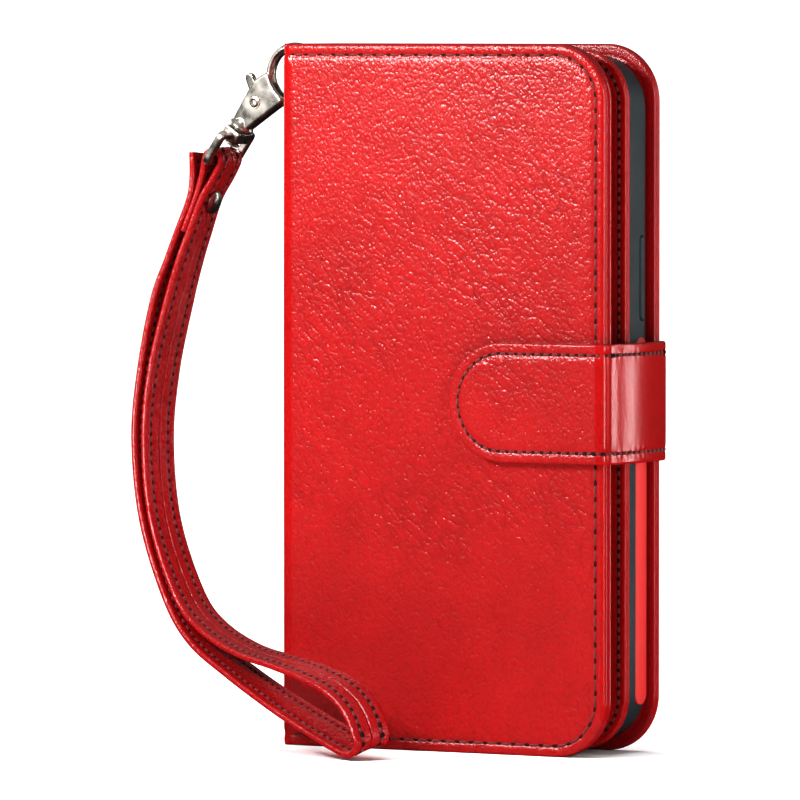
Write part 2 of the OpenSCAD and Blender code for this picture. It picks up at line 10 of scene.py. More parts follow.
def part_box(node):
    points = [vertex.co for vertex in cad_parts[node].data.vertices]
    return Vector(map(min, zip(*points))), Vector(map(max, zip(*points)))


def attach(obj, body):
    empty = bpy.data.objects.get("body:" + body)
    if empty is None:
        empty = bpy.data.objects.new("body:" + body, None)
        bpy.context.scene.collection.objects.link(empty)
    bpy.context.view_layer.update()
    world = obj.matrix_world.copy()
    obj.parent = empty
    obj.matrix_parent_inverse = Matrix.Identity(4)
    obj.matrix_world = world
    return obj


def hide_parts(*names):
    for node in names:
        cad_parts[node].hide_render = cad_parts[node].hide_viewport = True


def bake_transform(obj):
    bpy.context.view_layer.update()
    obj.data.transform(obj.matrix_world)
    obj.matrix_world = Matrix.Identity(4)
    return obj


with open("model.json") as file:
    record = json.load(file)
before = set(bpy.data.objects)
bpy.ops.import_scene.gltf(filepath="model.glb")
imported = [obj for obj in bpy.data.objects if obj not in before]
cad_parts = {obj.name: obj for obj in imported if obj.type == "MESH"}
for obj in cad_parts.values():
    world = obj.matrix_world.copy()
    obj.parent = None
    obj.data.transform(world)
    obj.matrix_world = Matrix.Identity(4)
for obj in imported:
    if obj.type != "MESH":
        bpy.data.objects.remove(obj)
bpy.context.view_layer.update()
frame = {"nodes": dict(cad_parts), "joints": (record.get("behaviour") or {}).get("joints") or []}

bl_info = {
    "name": "Leather phone wallet",
    "version": (1, 0, 0),
    "blender": (4, 5, 0),
    "location": "View3D > Sidebar > Wallet",
    "description": "Leather, moulding, hardware and stage of a folio phone wallet",
    "category": "Object",
}

MM = 0.001
JOINTS = {joint["name"]: joint for joint in frame["joints"]}


def node_box(name):
    """Lowest and highest corner of a CAD node."""
    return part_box(name)


def joint_at(name):
    """Place of a joint's axis in the shared frame."""
    return Vector(JOINTS[name]["pos_m"])


COVER_LO, COVER_HI = node_box("front_cover_skin")
LINING_LO, LINING_HI = node_box("front_cover_lining")
BACK_LO, BACK_HI = node_box("back_cover_skin")
BACK_IN, BACK_MID = node_box("back_cover_lining")
LEAF_LO, LEAF_HI = node_box("leaf_front_panel")
LEAF_BACK = node_box("leaf_back_panel")[1].y
SHELL_LO, SHELL_HI = node_box("phone_shell")
COVER_CORNER = 13 * MM


# ---------------------------------------------------------------- settings


class WalletLeather(bpy.types.PropertyGroup):
    """Sizes of the leather work"""

    edge_radius: FloatProperty(
        name="Edge radius", description="Rounding of a turned leather edge",
        default=0.95 * MM, unit="LENGTH")
    stitch_inset: FloatProperty(
        name="Stitch inset", description="Distance of the cover's stitching from its edge",
        default=2.5 * MM, unit="LENGTH")
    stitch_pitch: FloatProperty(
        name="Stitch pitch", description="Distance from one cover stitch to the next",
        default=3.6 * MM, unit="LENGTH")
    fine_pitch: FloatProperty(
        name="Fine pitch", description="Distance from one stitch to the next on straps and the leaf",
        default=2.05 * MM, unit="LENGTH")
    thread: FloatProperty(
        name="Thread", description="Diameter of the sewing thread", default=0.86 * MM, unit="LENGTH")
    wave: FloatProperty(
        name="Wave", description="How much a cover's leather undulates",
        default=0.09 * MM, unit="LENGTH")


class WalletColours(bpy.types.PropertyGroup):
    """Colours of the materials"""

    red: FloatVectorProperty(
        name="Leather", description="Colour of the outer leather", subtype="COLOR",
        default=(0.365, 0.0065, 0.0075))
    lining: FloatVectorProperty(
        name="Lining", description="Colour of the lining leather", subtype="COLOR",
        default=(0.31, 0.005, 0.008))
    strap: FloatVectorProperty(
        name="Strap", description="Colour of the strap leather", subtype="COLOR",
        default=(0.34, 0.005, 0.008))
    thread: FloatVectorProperty(
        name="Thread", description="Colour of the sewing thread", subtype="COLOR",
        default=(0.16, 0.0035, 0.005))
    moulding: FloatVectorProperty(
        name="Moulding", description="Colour of the moulded phone shell", subtype="COLOR",
        default=(0.03, 0.04, 0.045))
    inlay: FloatVectorProperty(
        name="Inlay", description="Colour of the inlay stripes", subtype="COLOR",
        default=(0.6, 0.03, 0.026))
    nickel: FloatVectorProperty(
        name="Nickel", description="Colour of the plated hardware", subtype="COLOR",
        default=(0.66, 0.62, 0.56))


class WalletStage(bpy.types.PropertyGroup):
    """Camera and floor"""

    yaw: FloatProperty(
        name="Yaw", description="Angle of the camera round the case", subtype="ANGLE",
        default=math.radians(30.4))
    distance: FloatProperty(
        name="Distance", description="Distance of the camera on plan", default=2.11, unit="LENGTH")
    height: FloatProperty(
        name="Height", description="Height of the camera", default=0.16735, unit="LENGTH")
    lens: FloatProperty(name="Lens", description="Focal length in millimetres", default=416.9)
    floor: FloatProperty(name="Floor", description="Side of the floor", default=6.0, unit="LENGTH")


def leather_settings():
    """The leather's sizes, as the panel shows them."""
    return bpy.context.scene.wallet_leather


# ---------------------------------------------------------------- node helpers


class Nodes:
    """Short ways to add and link the nodes of one tree."""

    def __init__(self, tree):
        self.tree = tree

    def add(self, kind, **values):
        node = self.tree.nodes.new(kind)
        for key, value in values.items():
            setattr(node, key, value)
        return node

    def link(self, source, target):
        self.tree.links.new(source, target)

    def math(self, operation, a, b=None):
        node = self.add("ShaderNodeMath", operation=operation)
        for socket, value in zip(node.inputs, (a, b)):
            self.feed(socket, value)
        return node.outputs[0]

    def feed(self, socket, value):
        if value is None:
            return
        if isinstance(value, bpy.types.NodeSocket):
            self.link(value, socket)
        else:
            socket.default_value = value

    def ranged(self, value, low, high, to_low=0.0, to_high=1.0):
        node = self.add("ShaderNodeMapRange")
        for socket, v in zip(node.inputs, (value, low, high, to_low, to_high)):
            self.feed(socket, v)
        return node.outputs[0]

    def mix_colour(self, factor, a, b):
        node = self.add("ShaderNodeMix", data_type="RGBA")
        self.feed(node.inputs[0], factor)
        self.feed(node.inputs[6], a)
        self.feed(node.inputs[7], b)
        return node.outputs[2]

    def mapped(self, scale, turn=(0, 0, 0)):
        """Object coordinates, turned and then scaled."""
        where = self.add("ShaderNodeTexCoord")
        turned = self.add("ShaderNodeVectorRotate", rotation_type="EULER_XYZ")
        turned.inputs["Rotation"].default_value = turn
        self.link(where.outputs["Object"], turned.inputs["Vector"])
        scaled = self.add("ShaderNodeVectorMath", operation="MULTIPLY")
        self.link(turned.outputs[0], scaled.inputs[0])
        scaled.inputs[1].default_value = scale
        return scaled.outputs[0]

    def warped(self, vector, offset, amount):
        """Coordinates shifted by an amount of a coloured noise."""
        node = self.add("ShaderNodeVectorMath", operation="MULTIPLY_ADD")
        self.link(offset, node.inputs[0])
        node.inputs[1].default_value = (amount, amount, amount)
        self.link(vector, node.inputs[2])
        return node.outputs[0]

    def noise(self, vector, detail=3.0, roughness=0.55, colour=False):
        node = self.add("ShaderNodeTexNoise")
        self.link(vector, node.inputs["Vector"])
        node.inputs["Scale"].default_value = 1.0
        node.inputs["Detail"].default_value = detail
        node.inputs["Roughness"].default_value = roughness
        return node.outputs["Color" if colour else "Fac"]

    def cells(self, vector, feature):
        node = self.add("ShaderNodeTexVoronoi", feature=feature)
        self.link(vector, node.inputs["Vector"])
        node.inputs["Scale"].default_value = 1.0
        node.inputs["Randomness"].default_value = 1.0
        return node.outputs["Distance"]

    def bump(self, height, strength, distance, normal=None):
        node = self.add("ShaderNodeBump")
        node.inputs["Strength"].default_value = strength
        node.inputs["Distance"].default_value = distance
        self.link(height, node.inputs["Height"])
        self.feed(node.inputs["Normal"], normal)
        return node.outputs[0]


def new_material(name, colour, roughness, **sockets):
    """A material with its Principled shader set up, and the helpers for its tree."""
    material = bpy.data.materials.new("wallet_" + name)
    material.use_nodes = True
    material.diffuse_color = (*colour, 1)
    shader = material.node_tree.nodes["Principled BSDF"]
    shader.inputs["Base Color"].default_value = (*colour, 1)
    shader.inputs["Roughness"].default_value = roughness
    for key, value in sockets.items():
        shader.inputs[key.replace("_", " ")].default_value = value
    return material, shader, Nodes(material.node_tree)


def shade_of(colour, factor):
    """A lighter or darker shade of a colour, with alpha."""
    return (*(min(1.0, c * factor) for c in colour), 1)


# ---------------------------------------------------------------- materials


def leather_material(name, colour, grain=0.66 * MM, creases=1.0, gloss=0.36, coat=0.45,
                     smooth_ends=False):
    """Coated leather: pebbled grain, clusters of fine slanting creases and an uneven gloss, with painted
    shade darkening the grain's valleys and the creases.
    """
    material, shader, n = new_material(
        name, colour, gloss, Specular_IOR_Level=0.42, Coat_Weight=coat, Coat_Roughness=0.16)
    fine = 1 / grain
    drift = n.noise(n.mapped((300, 300, 300)), detail=2, colour=True)
    pebble = n.cells(n.warped(n.mapped((fine, fine, fine * 0.8)), drift, 1.6), "F1")
    rounded = n.math("MULTIPLY", pebble, pebble)
    coarse = n.noise(n.mapped((fine * 0.5, fine * 0.5, fine * 0.4)), detail=5, roughness=0.62)
    grain_height = n.math("SUBTRACT", n.math("MULTIPLY", coarse, 1.5), rounded)

    slant = (0, math.radians(-38), 0)
    crease_width = 0.16
    cluster_from, cluster_to = 0.46, 0.66
    bend = n.noise(n.mapped((70, 70, 70)), detail=4, colour=True)
    curved = n.warped(n.mapped((120, 120, 420), slant), bend, 2.2)
    line = n.ranged(n.cells(curved, "DISTANCE_TO_EDGE"), 0.0, crease_width)
    cluster = n.ranged(n.noise(n.mapped((24, 24, 36), slant), detail=4), cluster_from, cluster_to)
    crease = n.math("MULTIPLY", n.math("SUBTRACT", 1.0, line), cluster)

    if smooth_ends:
        place = n.add("ShaderNodeSeparateXYZ")
        n.link(n.mapped((1, 1, 1)), place.inputs[0])
        x = place.outputs["X"]
        free = n.ranged(x, COVER_HI.x - 1.6 * MM, COVER_HI.x - 0.6 * MM, 1.0, 0.12)
        fold = n.ranged(x, COVER_LO.x + 2.2 * MM, COVER_LO.x + 3.4 * MM, 0.2, 1.0)
        calm = n.math("MULTIPLY", free, fold)
        grain_height = n.math("MULTIPLY", grain_height, calm)
        crease = n.math("MULTIPLY", crease, calm)

    grain_depth, crease_depth = grain * 0.25, 0.13 * MM
    normal = n.bump(grain_height, 0.62, grain_depth)
    normal = n.bump(n.math("SUBTRACT", 1.0, crease), 0.45 * creases, crease_depth, normal)
    n.link(normal, shader.inputs["Normal"])
    n.link(normal, shader.inputs["Coat Normal"])

    blotch = n.ranged(n.noise(n.mapped((45, 45, 45)), detail=5, roughness=0.6), 0.35, 0.68)
    tone = n.mix_colour(blotch, shade_of(colour, 0.9), shade_of(colour, 1.06))
    # painted shade: the grain's valleys are darkened towards 0.6 of the leather's colour
    valley_shade = n.ranged(pebble, 0.4, 0.95, 0.0, 0.4)
    tone = n.mix_colour(valley_shade, tone, shade_of(colour, 0.6))
    # painted shade: the creases are darkened towards half the leather's colour
    tone = n.mix_colour(n.math("MULTIPLY", crease, 0.4 * creases), tone, shade_of(colour, 0.5))
    n.link(tone, shader.inputs["Base Color"])
    dull = n.add("ShaderNodeMath", operation="MULTIPLY_ADD")
    n.link(coarse, dull.inputs[0])
    dull.inputs[1].default_value = 0.2
    dull.inputs[2].default_value = gloss - 0.1
    dull = dull.outputs[0]
    if smooth_ends:
        dull = n.math("MULTIPLY", dull, n.ranged(calm, 0.1, 1.0, 0.5, 1.0))
    n.link(dull, shader.inputs["Roughness"])
    return material


def thread_material(colour):
    """Twisted sewing thread."""
    material, shader, n = new_material("thread", colour, 0.55, Sheen_Weight=0.3)
    strands = n.noise(n.mapped((2600, 2600, 5200), (0.6, 0.5, 0)), detail=2)
    tone = n.mix_colour(strands, shade_of(colour, 0.6), shade_of(colour, 1.5))
    n.link(tone, shader.inputs["Base Color"])
    n.link(n.bump(strands, 0.5, 0.08 * MM), shader.inputs["Normal"])
    return material


def hole_shade_material(colour):
    """Dark dot of painted shade that stands for the shadow in a needle hole."""
    material, shader, n = new_material("needle_hole", colour, 0.8)
    grain = n.noise(n.mapped((3000, 3000, 3000)))
    tone = n.mix_colour(grain, shade_of(colour, 0.4), shade_of(colour, 1.2))
    n.link(tone, shader.inputs["Base Color"])
    return material


def moulding_material(colour):
    """Satin moulded elastomer with a faint texture."""
    material, shader, n = new_material("moulded_grey", colour, 0.46, Specular_IOR_Level=0.4)
    fine = n.noise(n.mapped((5200, 5200, 5200)), detail=2)
    cloud = n.noise(n.mapped((60, 60, 60)), detail=4)
    n.link(n.bump(fine, 0.22, 0.03 * MM), shader.inputs["Normal"])
    n.link(n.ranged(cloud, 0.3, 0.7, 0.36, 0.5), shader.inputs["Roughness"])
    n.link(n.mix_colour(cloud, shade_of(colour, 0.9), shade_of(colour, 1.12)), shader.inputs["Base Color"])
    return material


def inlay_material(colour):
    """Smooth coloured plastic inlay."""
    material, shader, n = new_material("inlay_red", colour, 0.38)
    fine = n.noise(n.mapped((4200, 4200, 4200)), detail=2)
    cloud = n.noise(n.mapped((80, 80, 80)), detail=3)
    n.link(n.bump(fine, 0.15, 0.02 * MM), shader.inputs["Normal"])
    n.link(n.mix_colour(cloud, shade_of(colour, 0.94), shade_of(colour, 1.05)), shader.inputs["Base Color"])
    return material


def metal_material(name, colour, roughness, brushed=0.0):
    """Plated metal with hairline scratches and small changes of gloss."""
    material, shader, n = new_material(name, colour, roughness, Metallic=1.0)
    hair = n.noise(n.mapped((900, 900, 9000), (0.2, 0.5, 0)), detail=3)
    cloud = n.noise(n.mapped((240, 240, 240)), detail=4)
    n.link(n.bump(hair, 0.05 + brushed, 0.02 * MM), shader.inputs["Normal"])
    n.link(n.ranged(cloud, 0.3, 0.72, roughness * 0.7, roughness * 1.5), shader.inputs["Roughness"])
    n.link(n.mix_colour(cloud, shade_of(colour, 0.9), shade_of(colour, 1.06)), shader.inputs["Base Color"])
    return material


def board_material():
    """Pressed fibre board."""
    colour = (0.42, 0.36, 0.27)
    material, shader, n = new_material("fibre_board", colour, 0.85)
    fibre = n.noise(n.mapped((900, 900, 260), (0, 0.4, 0)), detail=6, roughness=0.7)
    n.link(n.bump(fibre, 0.5, 0.06 * MM), shader.inputs["Normal"])
    n.link(n.mix_colour(fibre, shade_of(colour, 0.65), shade_of(colour, 1.25)), shader.inputs["Base Color"])
    return material


def make_materials():
    """Makes every material from the panel's colours."""
    c = bpy.context.scene.wallet_colours
    leather_material("cover_leather", c.red, smooth_ends=True)
    leather_material("strap_leather", c.strap, grain=0.6 * MM, creases=0.5, gloss=0.28, coat=0.5)
    leather_material(
        "lining_leather", c.lining, grain=0.5 * MM, creases=0.3, gloss=0.4, smooth_ends=True)
    thread_material(c.thread)
    # painted shade: near-black red for the dots at the needle holes
    hole_shade_material((0.035, 0.002, 0.002))
    moulding_material(c.moulding)
    inlay_material(c.inlay)
    metal_material("nickel", c.nickel, 0.3)
    metal_material("bare_steel", (0.55, 0.55, 0.57), 0.4)
    board_material()


def paint(piece, *names):
    """Gives a piece or CAD node its materials."""
    piece.data.materials.clear()
    for name in names:
        piece.data.materials.append(bpy.data.materials["wallet_" + name])
    return piece


# ---------------------------------------------------------------- mesh helpers


def in_mm(*pairs):
    """Pairs of millimetres as pairs of metres."""
    return [(a * MM, b * MM) for a, b in pairs]


def object_from(name, points, faces, sharp=40.0):
    """A closed mesh object from loose points: doubles merged, normals outwards."""
    mesh = bpy.data.meshes.new(name)
    mesh.from_pydata([tuple(p) for p in points], [], faces)
    return finish_mesh(bpy.data.objects.new(name, mesh), sharp)


def finish_mesh(piece, sharp=40.0):
    """Merges doubles, turns the faces outwards and sets the smooth shading."""
    bm = bmesh.new()
    bm.from_mesh(piece.data)
    bmesh.ops.remove_doubles(bm, verts=bm.verts, dist=2e-6)
    bmesh.ops.dissolve_degenerate(bm, dist=1e-7, edges=bm.edges)
    bmesh.ops.recalc_face_normals(bm, faces=bm.faces)
    bm.to_mesh(piece.data)
    bm.free()
    piece.data.shade_smooth()
    piece.data.set_sharp_from_angle(angle=math.radians(sharp))
    if piece.name not in bpy.context.scene.collection.objects:
        bpy.context.scene.collection.objects.link(piece)
    return piece


def ring_faces(count, size, closed=False):
    """Quads between count rings of size points each."""
    spans = range(count if closed else count - 1)
    return [
        (i * size + j, i * size + (j + 1) % size,
         (i + 1) % count * size + (j + 1) % size, (i + 1) % count * size + j)
        for i in spans for j in range(size)
    ]


def loft(name, rings, sharp=40.0, closed=False):
    """Skin over rings of equally many points, with both ends capped unless it closes on itself."""
    size = len(rings[0])
    points = [p for ring in rings for p in ring]
    faces = ring_faces(len(rings), size, closed)
    if not closed:
        faces.append(tuple(range(size)))
        faces.append(tuple(range((len(rings) - 1) * size, len(rings) * size)))
    return object_from(name, points, faces, sharp)


def join(name, pieces, sharp=40.0):
    """One object from several."""
    bm = bmesh.new()
    for piece in pieces:
        bm.from_mesh(piece.data)
        bpy.data.objects.remove(piece)
    mesh = bpy.data.meshes.new(name)
    bm.to_mesh(mesh)
    bm.free()
    return finish_mesh(bpy.data.objects.new(name, mesh), sharp)


def evaluated(piece):
    """Replaces a piece's mesh by what its modifiers make of it."""
    graph = bpy.context.evaluated_depsgraph_get()
    graph.update()
    made = bpy.data.meshes.new_from_object(
        piece.evaluated_get(graph), preserve_all_data_layers=True, depsgraph=graph)
    piece.modifiers.clear()
    piece.data = made
    return piece


def cut(piece, cutters, sharp=40.0):
    """Takes the cutters out of a piece."""
    for cutter in cutters:
        change = piece.modifiers.new("cut", "BOOLEAN")
        change.operation = "DIFFERENCE"
        change.solver = "EXACT"
        change.object = cutter
        evaluated(piece)
        bpy.data.objects.remove(cutter)
    return finish_mesh(piece, sharp)


def fused(piece, voxel, rounds=4):
    """Melts overlapping solids into one cast shape with small fillets."""
    change = piece.modifiers.new("melt", "REMESH")
    change.mode = "VOXEL"
    change.voxel_size = voxel
    soften = piece.modifiers.new("soften", "SMOOTH")
    soften.factor = 0.5
    soften.iterations = rounds
    evaluated(piece)
    return finish_mesh(piece, 60)


def rounded_loop(x0, x1, z0, z1, left, right, steps):
    """Closed outline in X and Z, with one corner radius on the left and one on the right."""
    nx, nz, arc = steps
    left = max(left, 0.0)
    right = max(right, 0.0)
    corners = [
        (x1 - right, z0 + right, right, -90), (x1 - right, z1 - right, right, 0),
        (x0 + left, z1 - left, left, 90), (x0 + left, z0 + left, left, 180),
    ]
    runs = [(nx, -1), (nz, 0), (nx, 1), (nz, 2)]
    loop = []
    for (count, before), (cx, cz, r, start) in zip(runs, corners):
        bx, bz, br, bstart = corners[before]
        end = math.radians(bstart + 90)
        a = (bx + br * math.cos(end), bz + br * math.sin(end))
        begin = math.radians(start)
        b = (cx + r * math.cos(begin), cz + r * math.sin(begin))
        loop += [(a[0] + (b[0] - a[0]) * i / count, a[1] + (b[1] - a[1]) * i / count)
                 for i in range(count)]
        loop += [(cx + r * math.cos(turn), cz + r * math.sin(turn))
                 for turn in (begin + math.pi / 2 * i / arc for i in range(arc))]
    return loop


def squared(value, power):
    """Keeps the sign and pulls a circle's coordinate towards a square's as the power drops below 1."""
    return math.copysign(abs(value) ** power, value)


def tube(name, path, radius, sides=16, closed=False, flat=(1.0, 1.0), up=Vector((0, 1, 0)),
         square=1.0):
    """Round or flattened tube along a path, its width held to the up direction."""
    rings = []
    count = len(path)
    for i, p in enumerate(path):
        before = path[(i - 1) % count] if closed else path[max(i - 1, 0)]
        after = path[(i + 1) % count] if closed else path[min(i + 1, count - 1)]
        along = (after - before).normalized()
        side = along.cross(up).normalized()
        top = side.cross(along)
        r = radius(i / (count - 1)) if callable(radius) else radius
        rings.append([
            p + side * (squared(math.cos(a), square) * r * flat[0])
            + top * (squared(math.sin(a), square) * r * flat[1])
            for a in (2 * math.pi * k / sides for k in range(sides))
        ])
    return loft(name, rings, closed=closed)


def turned(name, profile, place, sides=48, sharp=35.0):
    """Solid of revolution: profile is (radius, height) from the axis at one end to the other."""
    rings = [
        [place @ Vector((r * math.cos(a), r * math.sin(a), h))
         for a in (2 * math.pi * k / sides for k in range(sides))]
        for r, h in profile
    ]
    return loft(name, rings, sharp)


def bore(radius, low, high, place):
    """Round cutter along the place's Z axis."""
    return turned("bore", [(0, low), (radius, low), (radius, high), (0, high)], place, 32)


def slab(name, outline, y0, y1, place, bevel=0.0, segments=3):
    """Outline in X and Z drawn out along Y, with rounded edges."""
    rings = [[place @ Vector((x, y, z)) for x, z in outline] for y in (y0, y1)]
    piece = loft(name, rings, 30)
    if bevel:
        change = piece.modifiers.new("edge", "BEVEL")
        change.width = bevel
        change.segments = segments
        change.limit_method = "ANGLE"
        change.angle_limit = math.radians(30)
        change.harden_normals = False
        evaluated(piece)
        finish_mesh(piece, 30)
    return piece


def capsule_outline(x, z0, z1, width, arc=14):
    """Upright slot with round ends."""
    r = width / 2
    turns = [math.pi * k / arc for k in range(arc + 1)]
    top = [(x + r * math.cos(a), z1 - r + r * math.sin(a)) for a in turns]
    low = [(x - r * math.cos(a), z0 + r - r * math.sin(a)) for a in turns]
    return top + low


def sideways(outline, x0, x1, round_end=0.0):
    """Rings of an upright outline in Y and Z drawn out along X, its x1 end rounded over."""
    cy = sum(p[0] for p in outline) / len(outline)
    half = (max(p[0] for p in outline) - min(p[0] for p in outline)) / 2
    way = math.copysign(1.0, x1 - x0)
    low_z = min(p[1] for p in outline) + half
    high_z = max(p[1] for p in outline) - half

    def shrunk(x, share):
        ring = []
        for y, z in outline:
            anchor_z = min(max(z, low_z), high_z)
            ring.append(Vector((x, cy + (y - cy) * share, anchor_z + (z - anchor_z) * share)))
        return ring

    rings = [shrunk(x0, 1.0)]
    steps = 6 if round_end else 0
    rings.append(shrunk(x1 - way * round_end, 1.0))
    for k in range(1, steps + 1):
        a = math.pi / 2 * k / steps
        share = 1 - round_end / half * (1 - math.cos(a)) * 0.9
        rings.append(shrunk(x1 - way * round_end * (1 - math.sin(a)), share))
    return rings


# ---------------------------------------------------------------- stitching


def stitch_tree():
    """Geometry Nodes tree that sews stitches along a line with an up attribute, with a dark dot of painted
    shade for each needle hole between them.
    """
    tree = bpy.data.node_groups.new("stitch_row", "GeometryNodeTree")
    tree.is_modifier = True
    face = tree.interface
    face.new_socket("Geometry", in_out="INPUT", socket_type="NodeSocketGeometry")
    sizes = {"Pitch": 3 * MM, "Stitch length": 2.2 * MM, "Thread radius": 0.2 * MM, "Rise": 0.2 * MM}
    for name, value in sizes.items():
        face.new_socket(name, in_out="INPUT", socket_type="NodeSocketFloat").default_value = value
    for name in ("Thread", "Hole shade"):
        face.new_socket(name, in_out="INPUT", socket_type="NodeSocketMaterial")
    face.new_socket("Geometry", in_out="OUTPUT", socket_type="NodeSocketGeometry")
    n = Nodes(tree)
    start = n.add("NodeGroupInput").outputs

    def point(x, z):
        node = n.add("ShaderNodeCombineXYZ")
        n.feed(node.inputs[0], x)
        n.feed(node.inputs[2], z)
        return node.outputs[0]

    line = n.add("GeometryNodeMeshToCurve")
    n.link(start["Geometry"], line.inputs[0])
    spaced = n.add("GeometryNodeResampleCurve", mode="LENGTH")
    n.link(line.outputs[0], spaced.inputs["Curve"])
    n.link(start["Pitch"], spaced.inputs["Length"])

    half = n.math("MULTIPLY", start["Stitch length"], 0.5)
    sunk = n.math("MULTIPLY", start["Thread radius"], -1.2)
    arch = n.add("GeometryNodeCurveQuadraticBezier")
    arch.inputs["Resolution"].default_value = 7
    n.link(point(n.math("MULTIPLY", half, -1.0), sunk), arch.inputs["Start"])
    n.link(point(0.0, n.math("MULTIPLY", start["Rise"], 2.0)), arch.inputs["Middle"])
    n.link(point(half, sunk), arch.inputs["End"])
    round_section = n.add("GeometryNodeCurvePrimitiveCircle")
    round_section.inputs["Resolution"].default_value = 7
    n.link(start["Thread radius"], round_section.inputs["Radius"])
    stitch = n.add("GeometryNodeCurveToMesh")
    n.link(arch.outputs[0], stitch.inputs[0])
    n.link(round_section.outputs[0], stitch.inputs[1])
    stitch.inputs["Fill Caps"].default_value = True
    smooth = n.add("GeometryNodeSetShadeSmooth")
    n.link(stitch.outputs[0], smooth.inputs[0])

    # dark dot of painted shade for the needle hole between stitches
    dot = n.add("GeometryNodeMeshUVSphere")
    dot.inputs["Segments"].default_value = 10
    dot.inputs["Rings"].default_value = 5
    n.link(n.math("MULTIPLY", start["Thread radius"], 1.35), dot.inputs["Radius"])
    placed = n.add("GeometryNodeTransform")
    n.link(dot.outputs[0], placed.inputs["Geometry"])
    between = point(n.math("MULTIPLY", start["Pitch"], 0.5), n.math("MULTIPLY", sunk, 0.25))
    n.link(between, placed.inputs["Translation"])
    placed.inputs["Scale"].default_value = (1.45, 0.95, 0.45)
    marked = n.add("GeometryNodeStoreNamedAttribute", data_type="BOOLEAN", domain="FACE")
    n.link(placed.outputs[0], marked.inputs["Geometry"])
    marked.inputs["Name"].default_value = "needle_hole"
    marked.inputs["Value"].default_value = True

    both = n.add("GeometryNodeJoinGeometry")
    n.link(smooth.outputs[0], both.inputs[0])
    n.link(marked.outputs[0], both.inputs[0])

    tangent = n.add("GeometryNodeInputTangent")
    up = n.add("GeometryNodeInputNamedAttribute", data_type="FLOAT_VECTOR")
    up.inputs["Name"].default_value = "up"
    face_along = n.add("FunctionNodeAlignRotationToVector", axis="X")
    n.link(tangent.outputs[0], face_along.inputs["Vector"])
    stand_up = n.add("FunctionNodeAlignRotationToVector", axis="Z", pivot_axis="X")
    n.link(face_along.outputs[0], stand_up.inputs["Rotation"])
    n.link(up.outputs["Attribute"], stand_up.inputs["Vector"])

    sewn = n.add("GeometryNodeInstanceOnPoints")
    n.link(spaced.outputs[0], sewn.inputs["Points"])
    n.link(both.outputs[0], sewn.inputs["Instance"])
    n.link(stand_up.outputs[0], sewn.inputs["Rotation"])
    real = n.add("GeometryNodeRealizeInstances")
    n.link(sewn.outputs[0], real.inputs[0])
    red = n.add("GeometryNodeSetMaterial")
    n.link(real.outputs[0], red.inputs["Geometry"])
    n.link(start["Thread"], red.inputs["Material"])
    is_hole_shade = n.add("GeometryNodeInputNamedAttribute", data_type="BOOLEAN")
    is_hole_shade.inputs["Name"].default_value = "needle_hole"
    dark = n.add("GeometryNodeSetMaterial")
    n.link(red.outputs[0], dark.inputs["Geometry"])
    n.link(is_hole_shade.outputs["Attribute"], dark.inputs["Selection"])
    n.link(start["Hole shade"], dark.inputs["Material"])
    end = n.add("NodeGroupOutput")
    n.link(dark.outputs[0], end.inputs[0])
    return tree


# Share of the pitch that a stitch covers
STITCH_SHARE = 0.74


def sew(name, lines, pitch=None, rise=0.16 * MM):
    """Stitches along lines of (point, up) pairs, as one mesh."""
    s = leather_settings()
    pitch = pitch or s.stitch_pitch
    points, ups, edges = [], [], []
    for line in lines:
        edges += [(len(points) + i, len(points) + i + 1) for i in range(len(line) - 1)]
        points += [tuple(p) for p, _ in line]
        ups += [tuple(u) for _, u in line]
    mesh = bpy.data.meshes.new(name)
    mesh.from_pydata(points, edges, [])
    attribute = mesh.attributes.new("up", "FLOAT_VECTOR", "POINT")
    attribute.data.foreach_set("vector", [value for u in ups for value in u])
    piece = bpy.data.objects.new(name, mesh)
    bpy.context.scene.collection.objects.link(piece)
    tree = bpy.data.node_groups.get("stitch_row") or stitch_tree()
    change = piece.modifiers.new("stitches", "NODES")
    change.node_group = tree
    values = {
        "Pitch": pitch, "Stitch length": pitch * STITCH_SHARE, "Thread radius": s.thread / 2,
        "Rise": rise, "Thread": bpy.data.materials["wallet_thread"],
        "Hole shade": bpy.data.materials["wallet_needle_hole"],
    }
    for item in tree.interface.items_tree:
        if item.in_out == "INPUT" and item.name in values:
            change[item.identifier] = values[item.name]
    return evaluated(piece)


# ---------------------------------------------------------------- leather plates


def smoothstep(low, high, value):
    """Smooth rise from 0 at low to 1 at high."""
    t = min(1.0, max(0.0, (value - low) / (high - low)))
    return t * t * (3 - 2 * t)


def round_depth(distance, radius):
    """How far a quarter-round edge lies below its face, at a distance from the edge."""
    if distance >= radius:
        return 0.0
    return radius - math.sqrt(max(0.0, radius ** 2 - (radius - max(distance, 0.0)) ** 2))


